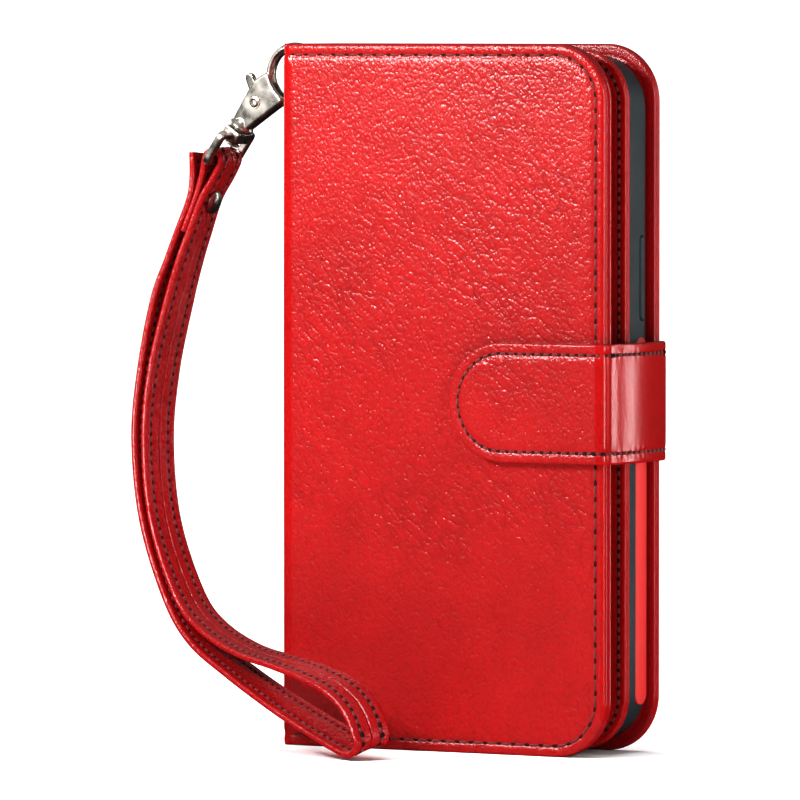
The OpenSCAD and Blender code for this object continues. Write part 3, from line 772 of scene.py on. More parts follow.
class Plate:
    """A leather panel: u runs from a plain or folded side to the free side, v is the height."""

    insets = [0, 0.05, 0.16, 0.34, 0.6, 0.9, 1.25, 1.6, 1.95, 2.2, 2.45, 2.75, 3.2, 3.9, 5, 6.8, 9.2, 13]

    def __init__(self, u0, u1, v0, v1, corner, place, steps=(60, 140, 20), nose=0.0,
                 plain_corner=0.0, edge=None, stitch=None, pitch=None, wave=None, dip=0.34 * MM,
                 seed=0.0):
        s = leather_settings()
        self.u0, self.u1, self.v0, self.v1, self.corner = u0, u1, v0, v1, corner
        self.place, self.steps, self.nose, self.plain_corner = place, steps, nose, plain_corner
        self.edge = s.edge_radius if edge is None else edge
        self.stitch = s.stitch_inset if stitch is None else stitch
        self.pitch = s.stitch_pitch if pitch is None else pitch
        self.wave = s.wave if wave is None else wave
        self.dip, self.seed = dip, seed
        self.crease = None

    def loop(self, inset, plain_inset=None):
        """The panel's outline, drawn in by an inset; the plain side may have its own."""
        plain = inset if plain_inset is None else plain_inset
        return rounded_loop(
            self.u0 + plain, self.u1 - inset, self.v0 + inset, self.v1 - inset,
            self.plain_corner - plain, self.corner - inset, self.steps)

    def edge_distance(self, u, v):
        """Distance to the top, bottom or free edge."""
        du = self.u1 - u
        dv = min(v - self.v0, self.v1 - v)
        r = self.corner
        if du < r and dv < r:
            return r - math.hypot(r - du, r - dv)
        return min(du, dv)

    def along(self, u, v):
        """Length along the stitching to the place nearest a point."""
        r = self.corner - self.stitch
        flat = self.u1 - self.corner - self.u0
        rise = self.v1 - self.v0 - 2 * self.corner
        bend = r * math.pi / 2
        cu = self.u1 - self.corner
        if u > cu:
            if v < self.v0 + self.corner:
                return flat + r * math.atan2(u - cu, self.v0 + self.corner - v)
            if v > self.v1 - self.corner:
                return flat + bend + rise + r * math.atan2(v - (self.v1 - self.corner), u - cu)
            if self.u1 - u < min(v - self.v0, self.v1 - v):
                return flat + bend + (v - self.v0 - self.corner)
        if v < (self.v0 + self.v1) / 2:
            return u - self.u0
        return 2 * flat + 2 * bend + rise - (u - self.u0)

    def depth(self, u, v, limit):
        """How far the surface lies below the panel's face."""
        d = self.edge_distance(u, v)
        sunk = round_depth(d, self.edge)
        sunk += self.dip * math.exp(-((d - self.stitch) / (0.46 * MM)) ** 2)
        sunk += 0.3 * self.dip * (1 - smoothstep(self.stitch, self.stitch + 1.6 * MM, d))
        if self.crease is not None:
            sunk += 0.3 * MM * math.exp(-((u - self.crease) / (0.3 * MM)) ** 2)
        if self.pitch:
            pucker = math.cos(2 * math.pi * self.along(u, v) / self.pitch)
            reach = smoothstep(0.6 * MM, self.stitch, d)
            reach *= 1 - smoothstep(self.stitch, self.stitch + 2.6 * MM, d)
            sunk += 0.16 * self.dip * pucker * reach
        if self.wave:
            calm = smoothstep(2 * MM, 12 * MM, d) * smoothstep(0, 6 * MM, u - self.u0)
            spot = Vector((u * 55, v * 38, self.seed))
            sunk += calm * self.wave * (noise.noise(spot) + 0.45 * noise.noise(spot * 2.7) + 0.4)
        if self.nose and u < self.u0 + self.nose:
            sunk += self.nose - math.sqrt(max(0.0, self.nose ** 2 - (self.u0 + self.nose - u) ** 2))
        return min(max(sunk, -0.1 * MM), limit)

    def build(self, name, thickness, recess=None):
        """Closed leather of a given thickness; recess is (inset, plain side inset, leather left)."""
        insets = [i * MM for i in self.insets if i * MM < self.corner]
        insets.append(self.corner)
        limit = thickness
        rings = []
        for inset in reversed(insets):
            rings.append([self.place(u, v, self.depth(u, v, limit)) for u, v in self.loop(inset)])
        under = 0.22 * MM
        wall = self.edge + (thickness - self.edge) * 0.6
        rings.append([self.place(u, v, min(limit, max(wall, self.depth(u, v, limit))))
                      for u, v in self.loop(0.04 * MM, 0.0)])
        rings.append([self.place(u, v, thickness) for u, v in self.loop(under, 0.0)])
        if recess:
            inset, plain, left = recess
            rings.append([self.place(u, v, thickness) for u, v in self.loop(inset, plain)])
            rings.append([self.place(u, v, left) for u, v in self.loop(inset, plain)])
        size = len(rings[0])
        points = [p for ring in rings for p in ring]
        faces = ring_faces(len(rings), size)
        faces.append(tuple(range((len(rings) - 1) * size, len(rings) * size)))
        nx, nz, arc = self.steps
        inner = self.loop(self.corner)
        us = [p[0] for p in inner[:nx]] + [inner[nx][0]]
        vs = [p[1] for p in inner[nx + arc:nx + arc + nz]] + [inner[nx + arc + nz][1]]
        base = len(points)
        points += [self.place(u, v, self.depth(u, v, limit)) for v in vs for u in us]
        row = len(us)
        faces += [
            (k, k + 1, k + row + 1, k + row)
            for k in (base + j * row + i for j in range(len(vs) - 1) for i in range(len(us) - 1))
        ]
        return object_from(name, points, faces, 50)

    def sweep(self, name, thickness, groove=0.15 * MM, step=0.45 * MM):
        """The same leather as slices across its length, for a strip that bends; its free end is rounded."""
        half = (self.v1 - self.v0) / 2
        middle = self.v0 + half
        near = [i * MM for i in self.insets if i < 5]
        rows = round((2 * half - 10 * MM) / (0.8 * MM))
        across = near + [5 * MM + (2 * half - 10 * MM) * k / rows for k in range(rows + 1)]
        across += [2 * half - d for d in reversed(near)]
        straight = self.u1 - self.corner - self.u0
        count = round(straight / step)
        turn = 26
        us = [self.u0 + straight * k / count for k in range(count)]
        us += [self.u1 - self.corner * (1 - math.sin(math.pi / 2 * k / turn)) for k in range(turn)]
        us.append(self.u1 - 0.02 * MM)
        rings = []
        for u in us:
            bend = max(0.0, u - (self.u1 - self.corner))
            reach = half - self.corner + math.sqrt(self.corner ** 2 - bend ** 2)
            vs = [middle + (d - half) * reach / half for d in across]
            ring = [self.place(u, v, self.depth(u, v, thickness)) for v in vs]
            for v in reversed(vs):
                pulled = middle + (v - middle) * (1 - groove / half)
                ring.append(self.place(min(u, self.u1 - groove), pulled, thickness))
            rings.append(ring)
        return loft(name, rings, 50)

    def stitch_line(self, start=4.6 * MM, lift=0.05 * MM):
        """(point, up) pairs along the bottom, round the free side and back along the top."""
        inner = self.corner - self.stitch
        u1, v0, v1 = self.u1 - self.stitch, self.v0 + self.stitch, self.v1 - self.stitch
        cu = u1 - inner
        flat = [(self.u0 + start + (cu - self.u0 - start) * i / 40, v0) for i in range(41)]
        low = [(cu + inner * math.sin(a), v0 + inner * (1 - math.cos(a)))
               for a in (math.pi / 2 * i / 16 for i in range(1, 17))]
        side = [(u1, v0 + inner + (v1 - v0 - 2 * inner) * i / 60) for i in range(1, 61)]
        route = flat + low + side
        middle = (self.v0 + self.v1) / 2
        top = [(u, 2 * middle - v) for u, v in reversed(flat + low)]
        line = []
        for u, v in route + top[1:]:
            depth = self.depth(u, v, 1.0)
            out = self.place(u, v, depth - 1 * MM) - self.place(u, v, depth)
            line.append((self.place(u, v, depth - lift), out.normalized()))
        return line


def facing(face, way):
    """Puts a panel on a plane of constant Y; way is +1 where its leather lies behind that plane."""
    return lambda u, v, depth: Vector((u, face + way * depth, v))


# ---------------------------------------------------------------- covers

BOARD_INSET = 3.3 * MM
SKIN_T = 0.8 * MM
FRONT_R = (LINING_HI.y - COVER_LO.y) / 2
BACK_R = (BACK_HI.y - BACK_IN.y) / 2
LEAF_R = (LEAF_BACK - LEAF_LO.y) / 2


def cover_plates():
    """The outer panel and the lining of the front cover, then those of the back cover."""
    wide = (COVER_LO.x, COVER_HI.x, COVER_LO.z, COVER_HI.z, COVER_CORNER)
    return {
        "front_outer": Plate(*wide, facing(COVER_LO.y, 1), nose=FRONT_R, seed=3.0),
        "front_inner": Plate(
            *wide, facing(LINING_HI.y, -1), nose=FRONT_R, edge=0.7 * MM, dip=0.12 * MM, seed=9.0),
        "back_outer": Plate(*wide, facing(BACK_HI.y, -1), nose=BACK_R, edge=0.8 * MM, seed=15.0),
        "back_inner": Plate(
            *wide, facing(BACK_IN.y, 1), nose=BACK_R, edge=0.6 * MM, dip=0.12 * MM, seed=21.0),
    }


def settle(piece, body, slot, *nodes):
    """Puts a finished piece on its body in place of its CAD nodes."""
    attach(piece, body)
    if nodes:
        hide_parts(*nodes)
    return piece


class WALLET_OT_front_cover(bpy.types.Operator):
    """Make the front cover's outer leather, its lining and their stitching"""

    bl_idname = "wallet.front_cover"
    bl_label = "Front cover"

    def execute(self, context):
        plates = cover_plates()
        outer, inner = plates["front_outer"], plates["front_inner"]
        recess = (BOARD_INSET, FRONT_R + BOARD_INSET, SKIN_T)
        skin = paint(outer.build("front_cover_leather", FRONT_R, recess), "cover_leather")
        settle(skin, "front_cover", "cover_leather", "front_cover_skin")
        lining = paint(inner.build("front_cover_inside", FRONT_R, recess), "lining_leather")
        settle(lining, "front_cover", "lining_leather", "front_cover_lining")
        thread = sew("front_cover_stitches", [outer.stitch_line(), inner.stitch_line(start=6.5 * MM)])
        settle(thread, "front_cover", "cover_leather")
        return {"FINISHED"}


CAMERA_R = 7 * MM
CAMERA_SIDE = 34 * MM
CAMERA_AT = Vector((SHELL_HI.x - 4 * MM - CAMERA_SIDE / 2, SHELL_HI.z - 4.5 * MM - CAMERA_SIDE / 2))
CAMERA_LO = CAMERA_AT - Vector((CAMERA_SIDE, CAMERA_SIDE)) / 2
CAMERA_HI = CAMERA_AT + Vector((CAMERA_SIDE, CAMERA_SIDE)) / 2


def window_loop(grow, y):
    """Outline of the camera window, grown by some amount, at one depth."""
    lo, hi = CAMERA_LO, CAMERA_HI
    loop = rounded_loop(lo.x - grow, hi.x + grow, lo.y - grow, hi.y + grow,
                        CAMERA_R + grow, CAMERA_R + grow, (6, 6, 12))
    return [Vector((x, y, z)) for x, z in loop]


def window_cutter(y0, y1, grow):
    """Solid that cuts the camera window between two depths."""
    return loft("window_cutter", [window_loop(grow, y0), window_loop(grow, y1)])


class WALLET_OT_back_cover(bpy.types.Operator):
    """Make the back cover's leathers with the bound camera window, and their stitching"""

    bl_idname = "wallet.back_cover"
    bl_label = "Back cover"

    def execute(self, context):
        plates = cover_plates()
        outer, inner = plates["back_outer"], plates["back_inner"]
        recess = (BOARD_INSET, BACK_R + BOARD_INSET, SKIN_T)
        bound = 0.9 * MM
        skin = outer.build("back_cover_leather", BACK_R, recess)
        cut(skin, [window_cutter(BACK_IN.y - MM, BACK_HI.y + MM, bound * 0.6)], 50)
        binding = self.binding(bound)
        skin = paint(join("back_cover_leather", [skin, binding], 50), "cover_leather")
        settle(skin, "back_cover", "cover_leather", "back_cover_skin")
        lining = inner.build("back_cover_inside", BACK_R, recess)
        cut(lining, [window_cutter(BACK_IN.y - MM, BACK_HI.y + MM, bound * 0.6)], 50)
        settle(paint(lining, "lining_leather"), "back_cover", "lining_leather", "back_cover_lining")
        up = Vector((0, 1, 0))
        ring = window_loop(2.6 * MM, BACK_HI.y + 0.02 * MM)
        window_line = [(p, up) for p in ring + ring[:1]]
        thread = sew("back_cover_stitches", [outer.stitch_line(), window_line])
        settle(thread, "back_cover", "cover_leather")
        return {"FINISHED"}

    def binding(self, width):
        """Rounded leather rim that wraps the window's edge from face to face."""
        middle = (BACK_IN.y + BACK_HI.y) / 2
        half = (BACK_HI.y - BACK_IN.y) / 2 + 0.12 * MM
        rings = []
        for k in range(20):
            a = 2 * math.pi * k / 20
            across = squared(math.cos(a), 0.6) * width * 0.75
            deep = squared(math.sin(a), 0.45) * half
            rings.append(window_loop(width * 0.75 + across, middle + deep))
        return loft("window_binding", rings, 60, closed=True)


class WALLET_OT_spine(bpy.types.Operator):
    """Make the spine's outer leather and lining, hollowed where the covers' round folds turn"""

    bl_idname = "wallet.spine"
    bl_label = "Spine"

    def execute(self, context):
        lo, hi = node_box("spine_skin")
        inside = node_box("spine_lining")[1].x
        skin = self.layer("spine_leather", lo.x, hi.x, "cover_leather")
        settle(skin, "spine", "cover_leather", "spine_skin")
        lining = self.layer("spine_inside", hi.x + 0.02 * MM, inside, "lining_leather")
        settle(lining, "spine", "lining_leather", "spine_lining")
        up = Vector((-1, 0, 0))
        inset = leather_settings().stitch_inset
        ends = [lo.z + inset, hi.z - inset]
        span = [lo.y + 2.6 * MM, hi.y - 2.6 * MM]
        lines = [[(Vector((lo.x - 0.02 * MM, y, z)), up) for y in span] for z in ends]
        settle(sew("spine_stitches", lines), "spine", "cover_leather")
        return {"FINISHED"}

    def layer(self, name, x0, x1, material):
        """One layer between the two folds, its top and bottom edges rounded over."""
        front, back = joint_at("cover_hinge"), joint_at("spine_hinge")
        play = 0.12 * MM
        lo, hi = node_box("spine_skin")

        def end_y(x, axis, radius, way):
            if x > axis.x:
                return axis.y + way * (radius + play)
            return axis.y + way * math.sqrt((radius + play) ** 2 - min(axis.x - x, radius) ** 2)

        steps = 8
        xs = [x0 + (x1 - x0) * i / steps for i in range(steps + 1)]
        low = [(x, end_y(x, front, FRONT_R, 1)) for x in xs]
        high = [(x, end_y(x, back, BACK_R, -1)) for x in reversed(xs)]
        rows = 26
        inner = [(x1, low[-1][1] + (high[0][1] - low[-1][1]) * i / rows) for i in range(1, rows)]
        outer = [(x0, high[-1][1] + (low[0][1] - high[-1][1]) * i / rows) for i in range(1, rows)]
        outline = low + inner + high + outer
        mid = (x0 + x1) / 2
        round_r = (x1 - x0) * 0.45
        rings = []
        heights = [(lo.z, round_r), (lo.z + round_r * 0.3, round_r * 0.35), (lo.z + round_r, 0.0)]
        body = [(lo.z + round_r + (hi.z - lo.z - 2 * round_r) * i / 120, 0.0) for i in range(1, 120)]
        heights += body + [(lo.z + hi.z - z, inset) for z, inset in reversed(heights)]
        for z, inset in heights:
            share = 1 - inset / ((x1 - x0) / 2)
            rings.append([Vector((mid + (x - mid) * share, y, z)) for x, y in outline])
        return paint(loft(name, rings, 45), material)


class WALLET_OT_card_leaf(bpy.types.Operator):
    """Make the card leaf's two panels and their stitching"""

    bl_idname = "wallet.card_leaf"
    bl_label = "Card leaf"

    def execute(self, context):
        wide = (LEAF_LO.x, LEAF_HI.x, LEAF_LO.z, LEAF_HI.z, COVER_CORNER - MM)
        pitch = leather_settings().fine_pitch
        look = {"nose": LEAF_R, "edge": 0.55 * MM, "stitch": 1.9 * MM, "pitch": pitch, "dip": 0.12 * MM,
                "wave": 0.03 * MM}
        front = Plate(*wide, facing(LEAF_LO.y, 1), seed=31.0, **look)
        back = Plate(*wide, facing(LEAF_BACK, -1), seed=37.0, **look)
        recess = (BOARD_INSET, LEAF_R + BOARD_INSET, 0.65 * MM)
        for plate, name, node in ((front, "leaf_front_leather", "leaf_front_panel"),
                                  (back, "leaf_back_leather", "leaf_back_panel")):
            piece = paint(plate.build(name, LEAF_R, recess), "cover_leather")
            settle(piece, "card_leaf", "cover_leather", node)
        lines = [front.stitch_line(start=3.2 * MM), back.stitch_line(start=3.2 * MM)]
        settle(sew("leaf_stitches", lines, pitch), "card_leaf", "cover_leather")
        return {"FINISHED"}


class WALLET_OT_pockets(bpy.types.Operator):
    """Make the cash pocket and the card pockets of the cover and the leaf"""

    bl_idname = "wallet.pockets"
    bl_label = "Pockets"

    def execute(self, context):
        pitch = leather_settings().fine_pitch
        for body, nodes in (
                ("front_cover", ["cash_pocket"] + [f"cover_card_pocket_{k}" for k in (3, 2, 1)]),
                ("card_leaf", [f"leaf_card_pocket_{k}" for k in (3, 2, 1)])):
            way = -1 if body == "front_cover" else 1
            lines = []
            for i, node in enumerate(nodes):
                lo, hi = node_box(node)
                face = hi.y if way < 0 else lo.y
                plate = Plate(lo.x, hi.x, lo.z, hi.z, 3 * MM, facing(face, way), steps=(40, 60, 8),
                              plain_corner=0.6 * MM, edge=0.28 * MM, stitch=1.4 * MM, pitch=0.0,
                              wave=0.02 * MM, dip=0.05 * MM, seed=40.0 + i)
                plate.insets = [0, 0.04, 0.12, 0.25, 0.7, 1.1, 1.4, 1.7, 2.4, 3]
                piece = paint(plate.build(node + "_leather", hi.y - lo.y), "lining_leather")
                settle(piece, body, "lining_leather", node)
                up = Vector((0, -way, 0))
                y = face - way * 0.03 * MM
                edge = hi.z - 1.6 * MM
                ends = (lo.x + 1.6 * MM, hi.x - 2.4 * MM)
                lines.append([(Vector((x, y, edge)), up) for x in ends])
                if i == len(nodes) - 1:
                    low = lo.z + 1.6 * MM
                    lines.append([(Vector((ends[0], y, z)), up) for z in (edge - pitch, low)])
                    lines.append([(Vector((ends[1], y, z)), up) for z in (edge - pitch, low + pitch)])
                    lines.append([(Vector((x, y, low)), up) for x in (ends[0] + pitch, ends[1])])
            settle(sew(body + "_pocket_stitches", lines, pitch), body, "lining_leather")
        return {"FINISHED"}


# ---------------------------------------------------------------- phone shell


class WALLET_OT_phone_shell(bpy.types.Operator):
    """Make the moulded phone shell with its window, port and button slots"""

    bl_idname = "wallet.phone_shell"
    bl_label = "Phone shell"

    def execute(self, context):
        lo, hi = SHELL_LO, SHELL_HI
        corner, wall, lip, lip_t, floor_t = 12 * MM, 2.2 * MM, 1.2 * MM, 0.8 * MM, 1.3 * MM
        back_r, front_r = 2.2 * MM, 1.25 * MM
        profile = [(6 * MM, hi.y), (back_r + 0.6 * MM, hi.y)]
        profile += [(back_r * (1 - math.sin(a)), hi.y - back_r * (1 - math.cos(a)))
                    for a in (math.pi / 2 * k / 8 for k in range(9))]
        profile += [(0.0, hi.y - back_r - (hi.y - back_r - lo.y - front_r) * k / 4) for k in range(1, 4)]
        profile += [(front_r * (1 - math.cos(a)), lo.y + front_r * (1 - math.sin(a)))
                    for a in (math.pi / 2 * k / 8 for k in range(9))]
        soft = 0.32 * MM
        reach = wall + lip
        profile += [(reach - soft * (1 - math.sin(a)), lo.y + soft * (1 - math.cos(a)))
                    for a in (math.pi / 2 * k / 4 for k in range(5))]
        profile += [(reach, lo.y + lip_t - 0.1 * MM), (reach - 0.1 * MM, lo.y + lip_t),
                    (wall, lo.y + lip_t + 0.1 * MM)]
        profile += [(wall, hi.y - floor_t - 0.8 * MM), (wall + 0.25 * MM, hi.y - floor_t - 0.2 * MM),
                    (wall + 0.8 * MM, hi.y - floor_t), (wall + 4 * MM, hi.y - floor_t)]
        rings = []
        for inset, y in profile:
            loop = rounded_loop(lo.x + inset, hi.x - inset, lo.z + inset, hi.z - inset,
                                corner - inset, corner - inset, (18, 36, 16))
            rings.append([Vector((x, y, z)) for x, z in loop])
        shell = loft("phone_shell_moulding", rings, 40)
        cut(shell, self.cutters(lo, hi, wall))
        settle(paint(shell, "moulded_grey"), "phone_shell", "shell_rubber", "phone_shell")
        self.plugs()
        return {"FINISHED"}

    def cutters(self, lo, hi, wall):
        """Solids taken out of the moulding."""
        made = [window_cutter(hi.y - 3 * MM, hi.y + MM, -1 * MM)]
        plate_lo, plate_hi = node_box("shell_steel_plate")
        play = 0.08 * MM
        outline = rounded_loop(plate_lo.x - play, plate_hi.x + play, plate_lo.z - play, plate_hi.z + play,
                               6 * MM, 6 * MM, (4, 4, 8))
        made.append(slab("plate_recess", outline, plate_lo.y, hi.y + MM, Matrix.Identity(4)))
        port_w, port_h, port_y = 42 * MM, 5.2 * MM, lo.y + 2 * MM
        middle = (lo.x + hi.x) / 2
        port = [(middle - port_w / 2, port_y), (middle + port_w / 2, port_y + port_h)]
        loop = rounded_loop(port[0][0], port[1][0], port[0][1], port[1][1], 2 * MM, 2 * MM, (4, 2, 8))
        made.append(loft("port_cutter", [[Vector((x, y, z)) for x, y in loop]
                                         for z in (lo.z - MM, lo.z + wall + MM)]))
        for node, side in (("power_button", 1), ("volume_up_button", -1), ("volume_down_button", -1)):
            b_lo, b_hi = node_box(node)
            gap = 0.14 * MM
            outline = capsule_outline(
                (b_lo.y + b_hi.y) / 2, b_lo.z - gap, b_hi.z + gap, b_hi.y - b_lo.y + 2 * gap)
            ends = (hi.x - wall - MM, hi.x + MM) if side > 0 else (lo.x + wall + MM, lo.x - MM)
            made.append(loft("slot_cutter", sideways(outline, *ends)))
        for node, side in (("side_stripe_right", 1), ("side_stripe_left", -1)):
            b_lo, b_hi = node_box(node)
            outline = capsule_outline((b_lo.y + b_hi.y) / 2, b_lo.z, b_hi.z, b_hi.y - b_lo.y)
            ends = (b_lo.x, hi.x + MM) if side > 0 else (b_hi.x, lo.x - MM)
            made.append(loft("stripe_cutter", sideways(outline, *ends)))
        return made

    def plugs(self):
        """Buttons and inlay stripes, each a rounded capsule."""
        shrink = 0.03 * MM
        for node, side in (("side_stripe_right", 1), ("side_stripe_left", -1)):
            lo, hi = node_box(node)
            outline = capsule_outline(
                (lo.y + hi.y) / 2, lo.z + shrink, hi.z - shrink, hi.y - lo.y - 2 * shrink)
            ends = (lo.x, hi.x + 0.06 * MM) if side > 0 else (hi.x, lo.x - 0.06 * MM)
            piece = loft(node + "_inlay", sideways(outline, *ends, 0.16 * MM), 50)
            settle(paint(piece, "inlay_red"), "phone_shell", "stripe_plastic", node)
        for node, side in (("power_button", 1), ("volume_up_button", -1), ("volume_down_button", -1)):
            lo, hi = node_box(node)
            outline = capsule_outline((lo.y + hi.y) / 2, lo.z, hi.z, hi.y - lo.y)
            ends = (lo.x, hi.x) if side > 0 else (hi.x, lo.x)
            piece = loft(node + "_cap", sideways(outline, *ends, 0.45 * MM), 50)
            settle(paint(piece, "moulded_grey"), node, "shell_rubber", node)


# ---------------------------------------------------------------- clasp


class ClaspPath:
    """Middle line of the clasp strap on plan, from its sewn end round the free edge to the tab."""

    bend_r = 1.7 * MM
    bulge = 0.95 * MM

    def __init__(self):
        self.back = joint_at("clasp_bend")
        self.front = joint_at("clasp_tab_bend")
        self.x_sewn = node_box("clasp_anchor")[0].x
        self.x_tip = node_box("clasp_tab_skin")[0].x
        r = self.bend_r
        self.lengths = [self.back.x - r - self.x_sewn, r * math.pi / 2,
                        self.back.y - self.front.y - 2 * r, r * math.pi / 2, self.front.x - r - self.x_tip]
        self.middle = sum(self.lengths[:2]) + self.lengths[2] / 2
        self.total = sum(self.lengths)

    def at(self, s):
        """(point, outward direction) on plan at a length from the sewn end."""
        r = self.bend_r
        first, turn, side = self.lengths[:3]
        if s <= first:
            return Vector((self.x_sewn + s, self.back.y)), Vector((0, 1))
        s -= first
        if s <= turn:
            a = math.pi / 2 - s / r
            out = Vector((math.cos(a), math.sin(a)))
            return Vector((self.back.x - r, self.back.y - r)) + out * r, out
        s -= turn
        if s <= side:
            t = 2 * s / side - 1
            slope = -4 * self.bulge * t / side
            point = Vector((self.back.x + self.bulge * (1 - t * t), self.back.y - r - s))
            return point, Vector((1, slope)).normalized()
        s -= side
        if s <= turn:
            a = -s / r
            out = Vector((math.cos(a), math.sin(a)))
            return Vector((self.front.x - r, self.front.y + r)) + out * r, out
        return Vector((self.front.x - r - (s - turn), self.front.y)), Vector((0, -1))

    def half_thickness(self, s):
        """Half of the strap's thickness: thin on the side, thicker where the tab is lined."""
        thin = 0.65 * MM
        corner = sum(self.lengths[:3])
        return thin + (1.0 * MM - thin) * smoothstep(corner - 3 * MM, corner + 3 * MM, s)


class WALLET_OT_clasp(bpy.types.Operator):
    """Make the clasp strap in two lengths, shaped round its bends, with its stitching"""

    bl_idname = "wallet.clasp"
    bl_label = "Clasp strap"

    def execute(self, context):
        path = ClaspPath()
        lo, hi = node_box("clasp_tab_skin")
        pitch = 2.2 * MM
        look = {"stitch": 2.5 * MM, "pitch": pitch, "wave": 0.06 * MM}

        def strip(way, side, length, corner, depth_scale=None, **more):
            """A strip that starts in the middle of the side run; side is +1 on the strap's outer face."""
            def place(u, v, depth):
                s = path.middle + way * u
                point, out = path.at(s)
                half = path.half_thickness(s)
                deep = depth * half / MM if depth_scale else depth
                p = point + out * side * (half - deep)
                return Vector((p.x, p.y, v))
            return Plate(0, length, lo.z, hi.z, corner, place, **look, **more)

        tab_len = path.total - path.middle
        half_high = (hi.z - lo.z) / 2
        tab = strip(1, 1, tab_len, half_high, True, edge=0.6 * MM, dip=0.22 * MM, seed=51.0)
        tab.crease = path.total - path.middle - path.lengths[4] - 0.15 * MM
        inner = strip(1, -1, tab_len, half_high, True, edge=0.5 * MM, dip=0.15 * MM, seed=57.0)
        for plate, name, node, slot in (
                (tab, "clasp_tab_leather", "clasp_tab_skin", "cover_leather"),
                (inner, "clasp_tab_inside", "clasp_tab_lining", "lining_leather")):
            piece = paint(plate.sweep(name, MM), slot)
            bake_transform(piece)
            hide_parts(node)
        thread = sew("clasp_tab_stitches", [tab.stitch_line(start=0.0)], pitch)
        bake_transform(thread)

        band = strip(-1, 1, path.middle, 2.5 * MM, edge=0.6 * MM, dip=0.22 * MM, seed=63.0)
        strap = paint(band.sweep("clasp_side_leather", 2 * path.half_thickness(path.middle)), "cover_leather")
        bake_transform(strap)
        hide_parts("clasp_side_strap", "clasp_anchor")
        thread = sew("clasp_side_stitches", [band.stitch_line(start=pitch)], pitch)
        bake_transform(thread)
        return {"FINISHED"}


# ---------------------------------------------------------------- ring and snap hook

HOOK_AT = joint_at("swivel_turn")
HOOK_AXIS = -Vector(JOINTS["swivel_turn"]["axis"]).normalized()
LEAN = math.atan2(HOOK_AXIS.x, HOOK_AXIS.z)
HOOK = Matrix.Translation(HOOK_AT) @ Matrix.Rotation(LEAN, 4, "Y")
HOOP = HOOK.inverted() @ joint_at("hook_swing")
LEVER = HOOK.inverted() @ joint_at("lever_press")
EYE = HOOK.inverted() @ joint_at("strap_swing")
HOOK_T = 3.6 * MM
SLOT_T = 1.75 * MM


def on_hook(x, y, z):
    """A place given in the hook's own axes, in the shared frame."""
    return HOOK @ Vector((x, y, z))


